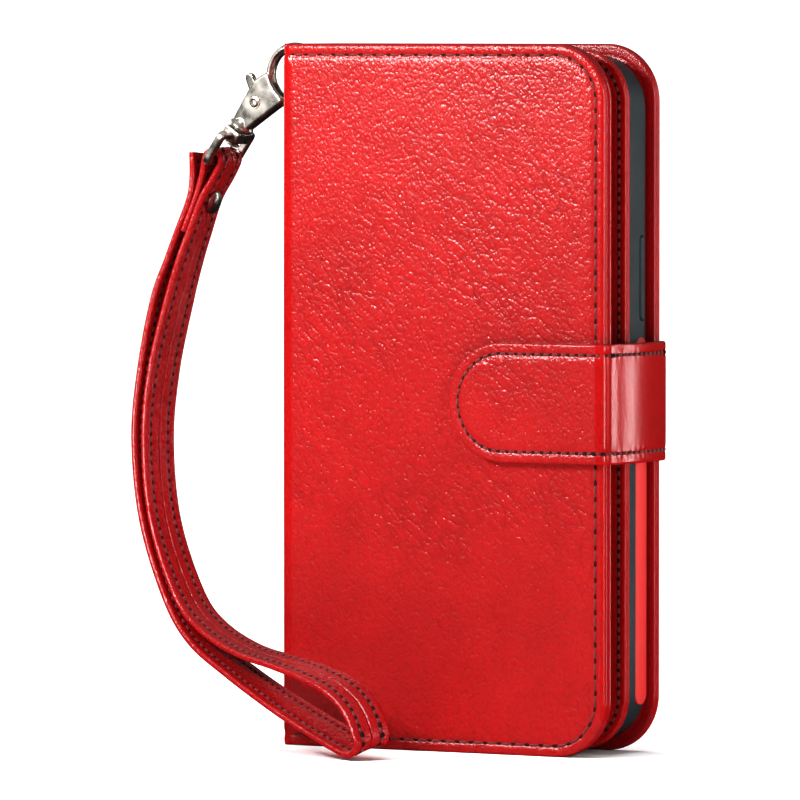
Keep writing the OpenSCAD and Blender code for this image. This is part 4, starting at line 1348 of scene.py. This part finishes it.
class WALLET_OT_ring(bpy.types.Operator):
    """Make the ring on the spine and the leather tab that holds it"""

    bl_idname = "wallet.ring"
    bl_label = "Ring and tab"

    def execute(self, context):
        bar = joint_at("ring_swing")
        lo, hi = node_box("d_ring")
        wire = 0.9 * MM
        half = (hi.y - lo.y) / 2 - wire
        apex = self.apex(bar)
        along = (apex - bar).normalized()
        reach = (apex - bar).length
        across = Vector((0, 1, 0))
        corner = 1.0 * MM
        points = [bar + across * (half - corner) * t for t in (-1, -0.5, 0, 0.5, 1)]
        points += [bar + across * (half - corner + corner * math.sin(a)) + along * corner * (1 - math.cos(a))
                   for a in (math.pi / 2 * k / 5 for k in range(1, 6))]
        straight = reach - half
        points += [bar + across * half + along * (corner + (straight - corner) * k / 3) for k in range(1, 3)]
        points += [bar + along * (straight + half * math.sin(a)) + across * half * math.cos(a)
                   for a in (math.pi * k / 24 for k in range(25))]
        points += [bar - across * half + along * (corner + (straight - corner) * k / 3) for k in (2, 1)]
        points += [bar - across * (half - corner + corner * math.cos(a)) + along * corner * (1 - math.sin(a))
                   for a in (math.pi / 2 * k / 5 for k in range(5))]
        normal = along.cross(across)
        ring = tube("d_ring_wire", points, wire, 18, closed=True, up=normal)
        settle(paint(ring, "nickel"), "d_ring", "nickel", "d_ring")
        self.tab(bar, wire)
        return {"FINISHED"}

    def apex(self, bar):
        """Far end of the ring's middle line, found from its CAD solid."""
        mesh = frame["nodes"]["d_ring"].data
        far = max((v.co for v in mesh.vertices), key=lambda p: (Vector((p.x, bar.y, p.z)) - bar).length)
        way = (Vector((far.x, bar.y, far.z)) - bar)
        return bar + way.normalized() * (way.length - 0.9 * MM)

    def tab(self, bar, wire):
        """Leather strip that runs up the spine, round the ring's bar and ends on the spine."""
        lo, hi = node_box("ring_tab")
        spine_x = COVER_LO.x
        leather = 0.9 * MM
        mid = spine_x - leather / 2
        r = wire + 0.08 * MM + leather / 2
        route = [Vector((mid, 0, lo.z + (bar.z - lo.z - 3.5 * MM) * k / 12)) for k in range(13)]
        route.append(Vector((mid, 0, route[-1].z + 0.6 * MM)))
        turn = [(bar.x + r * math.cos(a), bar.z + r * math.sin(a)) for a in
                (math.radians(d) for d in range(-60, -301, -12))]
        entry = Vector((mid - 0.1 * MM, 0, bar.z - 2.2 * MM))
        route += [entry] + [Vector((x, 0, z)) for x, z in turn]
        route += [Vector((spine_x + 0.3 * MM, 0, bar.z + r + 0.1 * MM))]
        rings = []
        half_w, half_t = (hi.y - lo.y) / 2, leather / 2
        count = len(route)
        for i, p in enumerate(route):
            ahead = (route[min(i + 1, count - 1)] - route[max(i - 1, 0)]).normalized()
            out = Vector((ahead.z, 0, -ahead.x))
            ring = []
            for k in range(24):
                a = 2 * math.pi * k / 24
                w = squared(math.cos(a), 0.35) * half_w
                t = squared(math.sin(a), 0.6) * half_t
                ring.append(Vector((p.x, bar.y + w, p.z)) + out * t)
            rings.append(ring)
        piece = loft("ring_tab_leather", rings, 50)
        settle(paint(piece, "strap_leather"), "spine", "cover_leather", "ring_tab")
        up = Vector((-1, 0, 0))
        face = spine_x - leather - 0.02 * MM
        inset = 1.2 * MM
        z_top = bar.z - 4 * MM
        lines = [[(Vector((face, bar.y + side * (half_w - inset), z)), up) for z in (lo.z + inset, z_top)]
                 for side in (-1, 1)]
        low_half = half_w - inset - 0.6 * MM
        lines.append([(Vector((face, bar.y + side * low_half, lo.z + inset)), up) for side in (-1, 1)])
        settle(sew("ring_tab_stitches", lines, 1.6 * MM), "spine", "cover_leather")


class WALLET_OT_snap_hook(bpy.types.Operator):
    """Make the cast snap hook, its lever, pin and spring"""

    bl_idname = "wallet.snap_hook"
    bl_label = "Snap hook"

    def execute(self, context):
        hoop_r, wire = 7.5 * MM, 2 * MM
        mid_r = hoop_r - wire / 2
        first, last = math.radians(-40), math.radians(279)
        steps = 60
        arc = [first + (last - first) * k / steps for k in range(steps + 1)]
        line = [on_hook(HOOP.x + mid_r * math.cos(a), 0, HOOP.z + mid_r * math.sin(a)) for a in arc]
        width = 1.0 * MM
        hoop = tube("hoop", line, lambda t: width * (0.92 + 0.08 * math.sin(math.pi * t)), 20,
                    flat=(1.0, HOOK_T / 2 / width * 0.86))
        plate_outline = in_mm(
            (-2.3, 0.4), (2.3, 0.4), (3.3, 3.0), (5.4, 8.4), (6.3, 10.4), (6.3, 11.4), (5.2, 11.9),
            (3.2, 12.3), (1.4, 13.1), (0.3, 14.0), (-0.9, 14.4), (-2.1, 12.4), (-2.7, 10.6),
            (-2.7, 9.0), (-2.5, 4.0))
        plate = slab("plate", plate_outline, -HOOK_T / 2, HOOK_T / 2, HOOK, 0.55 * MM, 4)
        collar = turned("collar", in_mm(
            (0, -0.9), (2.5, -0.9), (2.9, -0.6), (2.95, -0.1), (2.7, 0.35), (2.3, 0.7), (1.9, 1.6),
            (0, 2.2)), HOOK)
        shank = turned("shank", in_mm(
            (0, -5.2), (1.6, -5.2), (1.9, -5.0), (1.9, -4.7), (1.2, -4.5), (1.2, 0), (0, 0.1)), HOOK)
        body = join("hook_cast", [hoop, plate, collar, shank])
        slot_outline = in_mm(
            (-7, 2.8), (3, 2.8), (12, 9), (12, 12.6), (9, 13.2), (4, 13.4), (-3, 13.1), (-7, 13.1))
        slot = slab("slot", slot_outline, -SLOT_T / 2, SLOT_T / 2, HOOK)
        body = fused(body, 0.16 * MM, 3)
        body = cut(body, [slot], 50)
        settle(paint(body, "nickel"), "snap_hook", "nickel", "hook_body")
        self.lever()
        self.pin()
        self.spring()
        return {"FINISHED"}

    def lever(self):
        """Gate and thumb tab in one, bored for the pin and hollowed for the spring."""
        place = HOOK @ Matrix.Translation((LEVER.x, 0, LEVER.z))
        gate_a, thumb_a, gate_len = math.radians(33), math.radians(146), 11.1 * MM
        half_t = 0.75 * MM

        def arm(name, angle, length, half_w, tip):
            side = Vector((-math.sin(angle), math.cos(angle)))
            way = Vector((math.cos(angle), math.sin(angle)))
            outline = [-side * half_w, way * (length - tip) - side * half_w]
            outline += [way * (length - tip) + (way * math.cos(a) + side * math.sin(a)) * tip
                        for a in (math.radians(d) for d in range(-75, 76, 15))]
            outline += [way * (length - tip) + side * half_w, side * half_w]
            return slab(name, [(p.x, p.y) for p in outline], -half_t, half_t, place, 0.28 * MM)

        gate = arm("gate", gate_a, gate_len, 0.72 * MM, 0.72 * MM)
        thumb = arm("thumb", thumb_a, 7.0 * MM, 1.05 * MM, 1.05 * MM)
        hub_r = 1.7 * MM
        hub_outline = [(hub_r * math.cos(a), hub_r * math.sin(a))
                       for a in (2 * math.pi * k / 32 for k in range(32))]
        hub = slab("hub", hub_outline, -half_t, half_t, place, 0.15 * MM)
        piece = fused(join("lever_cast", [gate, thumb, hub]), 0.11 * MM, 2)
        across = place @ Matrix.Rotation(math.pi / 2, 4, "X")
        pin_bore = bore(0.9 * MM, -MM, MM, across)
        spring_pocket = bore(1.3 * MM, -0.1 * MM, MM, across)
        piece = cut(piece, [pin_bore, spring_pocket], 50)
        settle(paint(piece, "nickel"), "hook_lever", "nickel", "hook_lever")

    def pin(self):
        """Riveted pin with a ring and a hollow at each head."""
        place = HOOK @ Matrix.Translation((LEVER.x, 0, LEVER.z)) @ Matrix.Rotation(math.pi / 2, 4, "X")
        face = HOOK_T / 2
        head = [(0.0, face + 0.12 * MM), (0.45 * MM, face + 0.12 * MM), (0.62 * MM, face + 0.38 * MM),
                (0.85 * MM, face + 0.5 * MM), (1.1 * MM, face + 0.42 * MM), (1.22 * MM, face + 0.2 * MM),
                (1.32 * MM, face + 0.16 * MM), (1.5 * MM, face + 0.2 * MM), (1.56 * MM, face + 0.05 * MM),
                (1.5 * MM, face - 0.1 * MM), (0.8 * MM, face - 0.2 * MM)]
        profile = head + [(r, -h) for r, h in reversed(head)]
        settle(paint(turned("pin_rivet", profile, place, 48), "nickel"), "snap_hook", "nickel", "lever_pin")

    def spring(self):
        """Small coil round the pin beside the lever's hub."""
        turns, r, wire = 2.0, 1.05 * MM, 0.13 * MM
        place = HOOK @ Matrix.Translation((LEVER.x, 0, LEVER.z))
        path = []
        for k in range(61):
            a = 2 * math.pi * turns * k / 60
            path.append(place @ Vector((r * math.cos(a), -0.62 * MM + 0.5 * MM * k / 60, r * math.sin(a))))
        coil = tube("lever_coil", path, wire, 8)
        settle(paint(coil, "bare_steel"), "snap_hook", "magnet_steel", "lever_spring")


class WALLET_OT_swivel(bpy.types.Operator):
    """Make the swivel box with the arms and the bar that the strap folds over"""

    bl_idname = "wallet.swivel"
    bl_label = "Swivel eye"

    def execute(self, context):
        lo_box, hi_box = -3.95 * MM, -1.05 * MM
        half = 6.6 * MM
        wire = 1.0 * MM
        box = slab("box", [(-2.2 * MM, lo_box), (2.2 * MM, lo_box), (2.2 * MM, hi_box), (-2.2 * MM, hi_box)],
                   -3.2 * MM, 3.2 * MM, HOOK, 0.4 * MM, 4)
        drop = EYE.z
        shoulder = -2.6 * MM
        bend = 0.9 * MM
        route = [(0.0, shoulder), (half - bend, shoulder)]
        route += [(half - bend + bend * math.sin(a), shoulder - bend * (1 - math.cos(a)))
                  for a in (math.pi / 2 * k / 6 for k in range(1, 7))]
        route += [(half, drop + bend)]
        route += [(half - bend * (1 - math.cos(a)), drop + bend - bend * math.sin(a))
                  for a in (math.pi / 2 * k / 6 for k in range(1, 7))]
        right = route
        left = [(-y, z) for y, z in reversed(route)]
        loop = [on_hook(0, y, z) for y, z in right + left[:-1]]
        across = HOOK.to_3x3() @ Vector((1, 0, 0))
        eye = tube("eye", loop, wire, 24, closed=True, flat=(0.85, 0.95), up=across, square=0.55)
        bar = tube("bar", [on_hook(0, y, drop) for y in (-half, half)], wire, 24, up=across)
        piece = fused(join("swivel_cast", [box, eye, bar]), 0.1 * MM, 1)
        piece = cut(piece, [bore(1.28 * MM, lo_box - MM, hi_box + MM, HOOK)], 50)
        settle(paint(piece, "nickel"), "swivel_eye", "nickel", "swivel_eye")
        return {"FINISHED"}


# ---------------------------------------------------------------- wrist strap

# Rows along the strap's middle, as in the CAD: a point in millimetres, then the direction of the
# strap's width. Many of the points were worked out by a fitting script and then adjusted, so they
# aren't a hand-drawn curve; arcs from a few named sizes would be the better form.
STRAP_ROUTE = [
    (-76.2, 7.6, 134.5, 0, 1, 0),
    (-75.9, 7.2, 129, 0, 1, 0),
    (-76.3, 6.6, 124, 0.02, 1, 0),
    (-78.9, 5.6, 116, 0.08, 1, 0),
    (-80.7, 4.8, 110, 0.14, 0.99, 0),
    (-83.2, 3, 100.5, 0.22, 0.97, 0),
    (-84.6, 0, 84.5, 0.3, 0.95, 0),
    (-83.7, -4, 68.5, 0.3, 0.95, 0),
    (-78.4, -9, 50, 0.31, 0.95, 0),
    (-68.4, -15, 33, 0.33, 0.94, 0),
    (-58.8, -20, 23.8, 0.34, 0.93, 0.04),
    (-45.7, -25.5, 17.4, 0.35, 0.92, 0.1),
    (-31, -31.5, 11.4, 0.37, 0.9, 0.17),
    (-19, -36, 7, 0.39, 0.88, 0.24),
    (-9.5, -39.6, 3.9, 0.41, 0.86, 0.28),
    (-4.2, -41.4, 2.6, 0.42, 0.85, 0.3),
    (-1.5, -42, 4.4, 0.42, 0.85, 0.3),
    (-2.6, -41.2, 8, 0.42, 0.85, 0.3),
    (-6.4, -39.4, 12.4, 0.41, 0.86, 0.28),
    (-12.4, -37.2, 15.9, 0.4, 0.88, 0.24),
    (-20.6, -34.2, 18.3, 0.39, 0.89, 0.19),
    (-31, -30.2, 20.2, 0.37, 0.91, 0.13),
    (-44, -25, 22.3, 0.35, 0.93, 0.08),
    (-57, -19.4, 27, 0.34, 0.93, 0.03),
    (-66, -15, 34.2, 0.33, 0.94, 0),
    (-76, -9, 50.3, 0.31, 0.95, 0),
    (-81, -4, 68.5, 0.3, 0.95, 0),
    (-81.8, 0, 84.5, 0.3, 0.95, 0),
    (-79.5, 3, 100.5, 0.22, 0.97, 0),
    (-77.2, 4.2, 110, 0.14, 0.99, 0),
    (-75.5, 5.2, 116, 0.08, 1, 0),
    (-72.9, 6.2, 124, 0.02, 1, 0),
    (-69.9, 6.8, 129.2, 0, 1, 0),
    (-68.15, 7, 132.8, 0, 1, 0),
    (-68.76, 7, 134.5, 0, 1, 0),
    (-70.32, 7, 135.15, 0, 1, 0),
    (-71.88, 7, 134.5, 0, 1, 0),
    (-72.49, 7, 132.8, 0, 1, 0),
    (-73.3, 6.9, 129, 0, 1, 0),
    (-74.6, 6.4, 124, 0.02, 1, 0),
    (-77.2, 5.4, 116, 0.08, 1, 0),
]


RIVET_AT = Vector((-74.6 * MM, 6.4 * MM, 124 * MM))
RIVET_LEAN = math.radians(90 + 19)


def between_rows(a, b, c, d, t):
    """Smooth curve through four values, at t from 0 to 1 between the middle two."""
    second = (2 * a - 5 * b + 4 * c - d) * t * t
    return 0.5 * (2 * b + (c - a) * t + second + (3 * b - a - 3 * c + d) * t ** 3)


def strap_frames(fine=8):
    """(point, across, through) along the strap: a smooth curve through the route's rows."""
    last = len(STRAP_ROUTE) - 1

    def row(i):
        return STRAP_ROUTE[max(0, min(last, i))]

    rows = []
    for i in range(last):
        four = (row(i - 1), row(i), row(i + 1), row(i + 2))
        rows += [[between_rows(*values, k / fine) for values in zip(*four)] for k in range(fine)]
    rows.append(list(STRAP_ROUTE[last]))
    points = [Vector(r[:3]) * MM for r in rows]
    made = []
    for i, r in enumerate(rows):
        along = (points[min(i + 1, len(rows) - 1)] - points[max(i - 1, 0)]).normalized()
        through = along.cross(Vector(r[3:]).normalized()).normalized()
        made.append((points[i], through.cross(along).normalized(), through))
    return made


class WALLET_OT_wrist_strap(bpy.types.Operator):
    """Make the doubled wrist strap with its stitching and its rivet"""

    bl_idname = "wallet.wrist_strap"
    bl_label = "Wrist strap"

    width = 9.4 * MM
    thickness = 1.5 * MM
    inset = 2.2 * MM

    def half_thickness(self, u, seam):
        """Half of the strap's thickness at a place across it: round edges, sunk stitch lines."""
        edge_r = 0.75 * MM
        reach = max(0.0, abs(u) - (self.width / 2 - edge_r)) / edge_r
        swell = math.sqrt(max(0.0, 1 - reach ** 2)) * self.thickness / 2
        swell -= 0.16 * MM * math.exp(-((abs(u) - (self.width / 2 - self.inset)) / (0.38 * MM)) ** 2)
        if seam:
            swell -= 0.3 * MM * math.exp(-(u / (0.16 * MM)) ** 2)
        return max(swell, 0.0)

    def execute(self, context):
        frames = strap_frames()
        half = self.width / 2
        side = [half * math.sin(math.pi / 2 * k / 17) for k in range(-17, 18)]
        side += [k * 0.12 * MM for k in range(-4, 5)]
        side += [s * (half - self.inset + k * 0.25 * MM) for s in (-1, 1) for k in range(-2, 3)]
        side = sorted(set(side))
        rings = []
        for point, across, through in frames:
            ring = [point + across * u + through * self.half_thickness(u, False) for u in side]
            ring += [point + across * u - through * self.half_thickness(u, True)
                     for u in reversed(side[1:-1])]
            rings.append(ring)
        strap = loft("wrist_strap_leather", rings, 55)
        settle(paint(strap, "strap_leather"), "wrist_strap", "strap_leather", "wrist_strap")
        lines = []
        for way in (-1, 1):
            for edge in (-1, 1):
                u = edge * (half - self.inset)
                lift = self.half_thickness(u, False) + 0.03 * MM
                lines.append([(p + a * u + t * way * lift, t * way) for p, a, t in frames[2:-2]])
        pitch = 2.3 * MM
        settle(sew("wrist_strap_stitches", lines, pitch, rise=0.12 * MM), "wrist_strap", "strap_leather")
        self.rivet()
        return {"FINISHED"}

    def rivet(self):
        """Domed head and flat base of the rivet through the three layers."""
        place = Matrix.Translation(RIVET_AT) @ Matrix.Rotation(RIVET_LEAN, 4, "Y")
        stack = (3 * self.thickness + MM) / 2
        r = 2.8 * MM
        dome = [(0.0, stack + 1.05 * MM), (0.8 * MM, stack + 1.02 * MM), (1.5 * MM, stack + 0.9 * MM),
                (2.1 * MM, stack + 0.68 * MM), (2.55 * MM, stack + 0.4 * MM), (r, stack + 0.12 * MM),
                (r - 0.1 * MM, stack), (0.0, stack)]
        head = turned("rivet_dome", dome, place, 48)
        settle(paint(head, "nickel"), "wrist_strap", "nickel", "strap_rivet_head")
        foot = [(0.0, -stack - 0.5 * MM), (r * 0.55, -stack - 0.5 * MM), (r * 0.6, -stack - 0.6 * MM),
                (r - 0.15 * MM, -stack - 0.5 * MM), (r, -stack - 0.25 * MM), (r - 0.1 * MM, -stack),
                (1.1 * MM, -stack), (1.1 * MM, stack - 0.02 * MM), (0.0, stack - 0.02 * MM)]
        post = turned("rivet_post", foot, place, 48)
        settle(paint(post, "nickel"), "wrist_strap", "nickel", "strap_rivet_post")


# ---------------------------------------------------------------- hidden pieces


class WALLET_OT_inner_parts(bpy.types.Operator):
    """Give the boards, magnets and plates their finishes"""

    bl_idname = "wallet.inner_parts"
    bl_label = "Boards and magnets"

    def execute(self, context):
        for name in ("front_cover_board", "back_cover_board", "spine_board", "leaf_board"):
            paint(frame["nodes"][name], "fibre_board")
        for name in ("holding_magnets", "clasp_keeper_plate", "clasp_magnet", "shell_steel_plate"):
            paint(frame["nodes"][name], "bare_steel")
        return {"FINISHED"}


# ---------------------------------------------------------------- stage


# Share of the lamps' listed power that is used, which sets the exposure of the case alone
LAMP_LEVEL = 0.84


class WALLET_OT_stage(bpy.types.Operator):
    """Make the floor, the lights and the camera"""

    bl_idname = "wallet.stage"
    bl_label = "Floor, lights and camera"

    def execute(self, context):
        s = context.scene.wallet_stage
        self.floor(s.floor)
        target = Vector((-0.0184, 0, 0.0788))
        camera = bpy.data.objects.new("camera", bpy.data.cameras.new("camera"))
        context.scene.collection.objects.link(camera)
        camera.data.lens = s.lens
        camera.data.sensor_width = 36
        camera.data.clip_end = 50
        camera.location = (target.x + s.distance * math.sin(s.yaw), -s.distance * math.cos(s.yaw), s.height)
        camera.rotation_euler = (target - camera.location).to_track_quat("-Z", "Y").to_euler()
        context.scene.camera = camera
        middle = Vector((0.0, 0, 0.1))
        self.light("key", (-0.16, -0.33, 0.29), (0.18, 0.09), 1.9, Vector((0.02, 0, 0.15)))
        self.light("top", (0.0, 0.0, 0.9), (0.7, 0.7), 0.5, middle)
        self.light("front", (0.75, -0.75, 0.2), (0.4, 0.4), 0.8, Vector((0, 0, 0.0)))
        self.light("strip", (0.56, -0.33, 0.16), (0.03, 0.5), 1.1, middle)
        self.light("right", (0.8, 0.05, 0.25), (0.3, 0.4), 0.9, middle)
        self.light("rim", (0.42, 0.51, 0.16), (0.03, 0.5), 0.5, middle)
        self.light("left", (-0.55, 0.1, 0.3), (0.15, 0.4), 0.4, middle)
        self.floor_light()
        self.world()
        context.scene.view_settings.view_transform = "Standard"
        context.scene.view_settings.look = "High Contrast"
        return {"FINISHED"}

    def floor(self, side):
        """Large pale sheet, left out of reflections so that the leather's colour stays deep."""
        half = side / 2
        mesh = bpy.data.meshes.new("floor")
        corners = [(-half, -half, 0), (half, -half, 0), (half, half, 0), (-half, half, 0)]
        mesh.from_pydata(corners, [], [(0, 1, 2, 3)])
        floor = bpy.data.objects.new("floor", mesh)
        bpy.context.scene.collection.objects.link(floor)
        paper = new_material("pale_paper", (0.93, 0.93, 0.93), 0.7, Specular_IOR_Level=0.1)[0]
        floor.data.materials.append(paper)
        floor.visible_glossy = False
        self.only_floor = bpy.data.collections.new("floor_light_receiver")
        self.only_floor.objects.link(floor)

    def floor_light(self):
        """Soft sun that lights the floor alone, so that it reads as white paper."""
        data = bpy.data.lights.new("floor_sun", "SUN")
        data.energy = 3.2
        data.angle = math.radians(60)
        lamp = bpy.data.objects.new("floor_sun", data)
        bpy.context.scene.collection.objects.link(lamp)
        lamp.rotation_euler = (math.radians(8), math.radians(-6), 0)
        lamp.light_linking.receiver_collection = self.only_floor

    def light(self, name, at, size, power, target):
        """Rectangular lamp of a width and height, aimed at a target."""
        data = bpy.data.lights.new(name, "AREA")
        data.shape = "RECTANGLE"
        data.size, data.size_y = size
        data.energy = power * LAMP_LEVEL
        lamp = bpy.data.objects.new(name, data)
        bpy.context.scene.collection.objects.link(lamp)
        lamp.location = at
        lamp.rotation_euler = (target - Vector(at)).to_track_quat("-Z", "Y").to_euler()

    def world(self):
        """White to the eye; as a light it is dim and grows brighter overhead."""
        world = bpy.data.worlds.new("studio")
        world.use_nodes = True
        n = Nodes(world.node_tree)
        back = world.node_tree.nodes["Background"]
        back.inputs["Color"].default_value = (1, 1, 1, 1)
        height = n.add("ShaderNodeSeparateXYZ")
        n.link(n.add("ShaderNodeTexCoord").outputs["Generated"], height.inputs[0])
        glow = n.ranged(height.outputs["Z"], -0.2, 1.0, 0.02, 0.25)
        seen = n.add("ShaderNodeLightPath").outputs["Is Camera Ray"]
        n.link(n.math("MAXIMUM", seen, glow), back.inputs["Strength"])
        bpy.context.scene.world = world


# ---------------------------------------------------------------- panel


PIECES = (
    WALLET_OT_front_cover, WALLET_OT_back_cover, WALLET_OT_spine, WALLET_OT_card_leaf, WALLET_OT_pockets,
    WALLET_OT_phone_shell, WALLET_OT_clasp, WALLET_OT_ring, WALLET_OT_snap_hook, WALLET_OT_swivel,
    WALLET_OT_wrist_strap, WALLET_OT_inner_parts,
)


class WALLET_PT_panel(bpy.types.Panel):
    """Lists the wallet's pieces and settings"""

    bl_idname = "WALLET_PT_panel"
    bl_label = "Leather phone wallet"
    bl_space_type = "VIEW_3D"
    bl_region_type = "UI"
    bl_category = "Wallet"

    def draw(self, context):
        scene = context.scene
        for group in (scene.wallet_leather, scene.wallet_colours, scene.wallet_stage):
            box = self.layout.box()
            for key in group.__annotations__:
                box.prop(group, key)
        for operator in (WALLET_OT_stage, *PIECES):
            self.layout.operator(operator.bl_idname)


CLASSES = (WalletLeather, WalletColours, WalletStage, WALLET_OT_stage, *PIECES, WALLET_PT_panel)


def register():
    for cls in CLASSES:
        bpy.utils.register_class(cls)
    bpy.types.Scene.wallet_leather = PointerProperty(type=WalletLeather)
    bpy.types.Scene.wallet_colours = PointerProperty(type=WalletColours)
    bpy.types.Scene.wallet_stage = PointerProperty(type=WalletStage)


def unregister():
    del bpy.types.Scene.wallet_leather
    del bpy.types.Scene.wallet_colours
    del bpy.types.Scene.wallet_stage
    for cls in reversed(CLASSES):
        bpy.utils.unregister_class(cls)


def main():
    register()
    make_materials()
    for operator in (WALLET_OT_stage, *PIECES):
        group, action = operator.bl_idname.split(".")
        getattr(getattr(bpy.ops, group), action)()


if __name__ == "__main__":
    main()
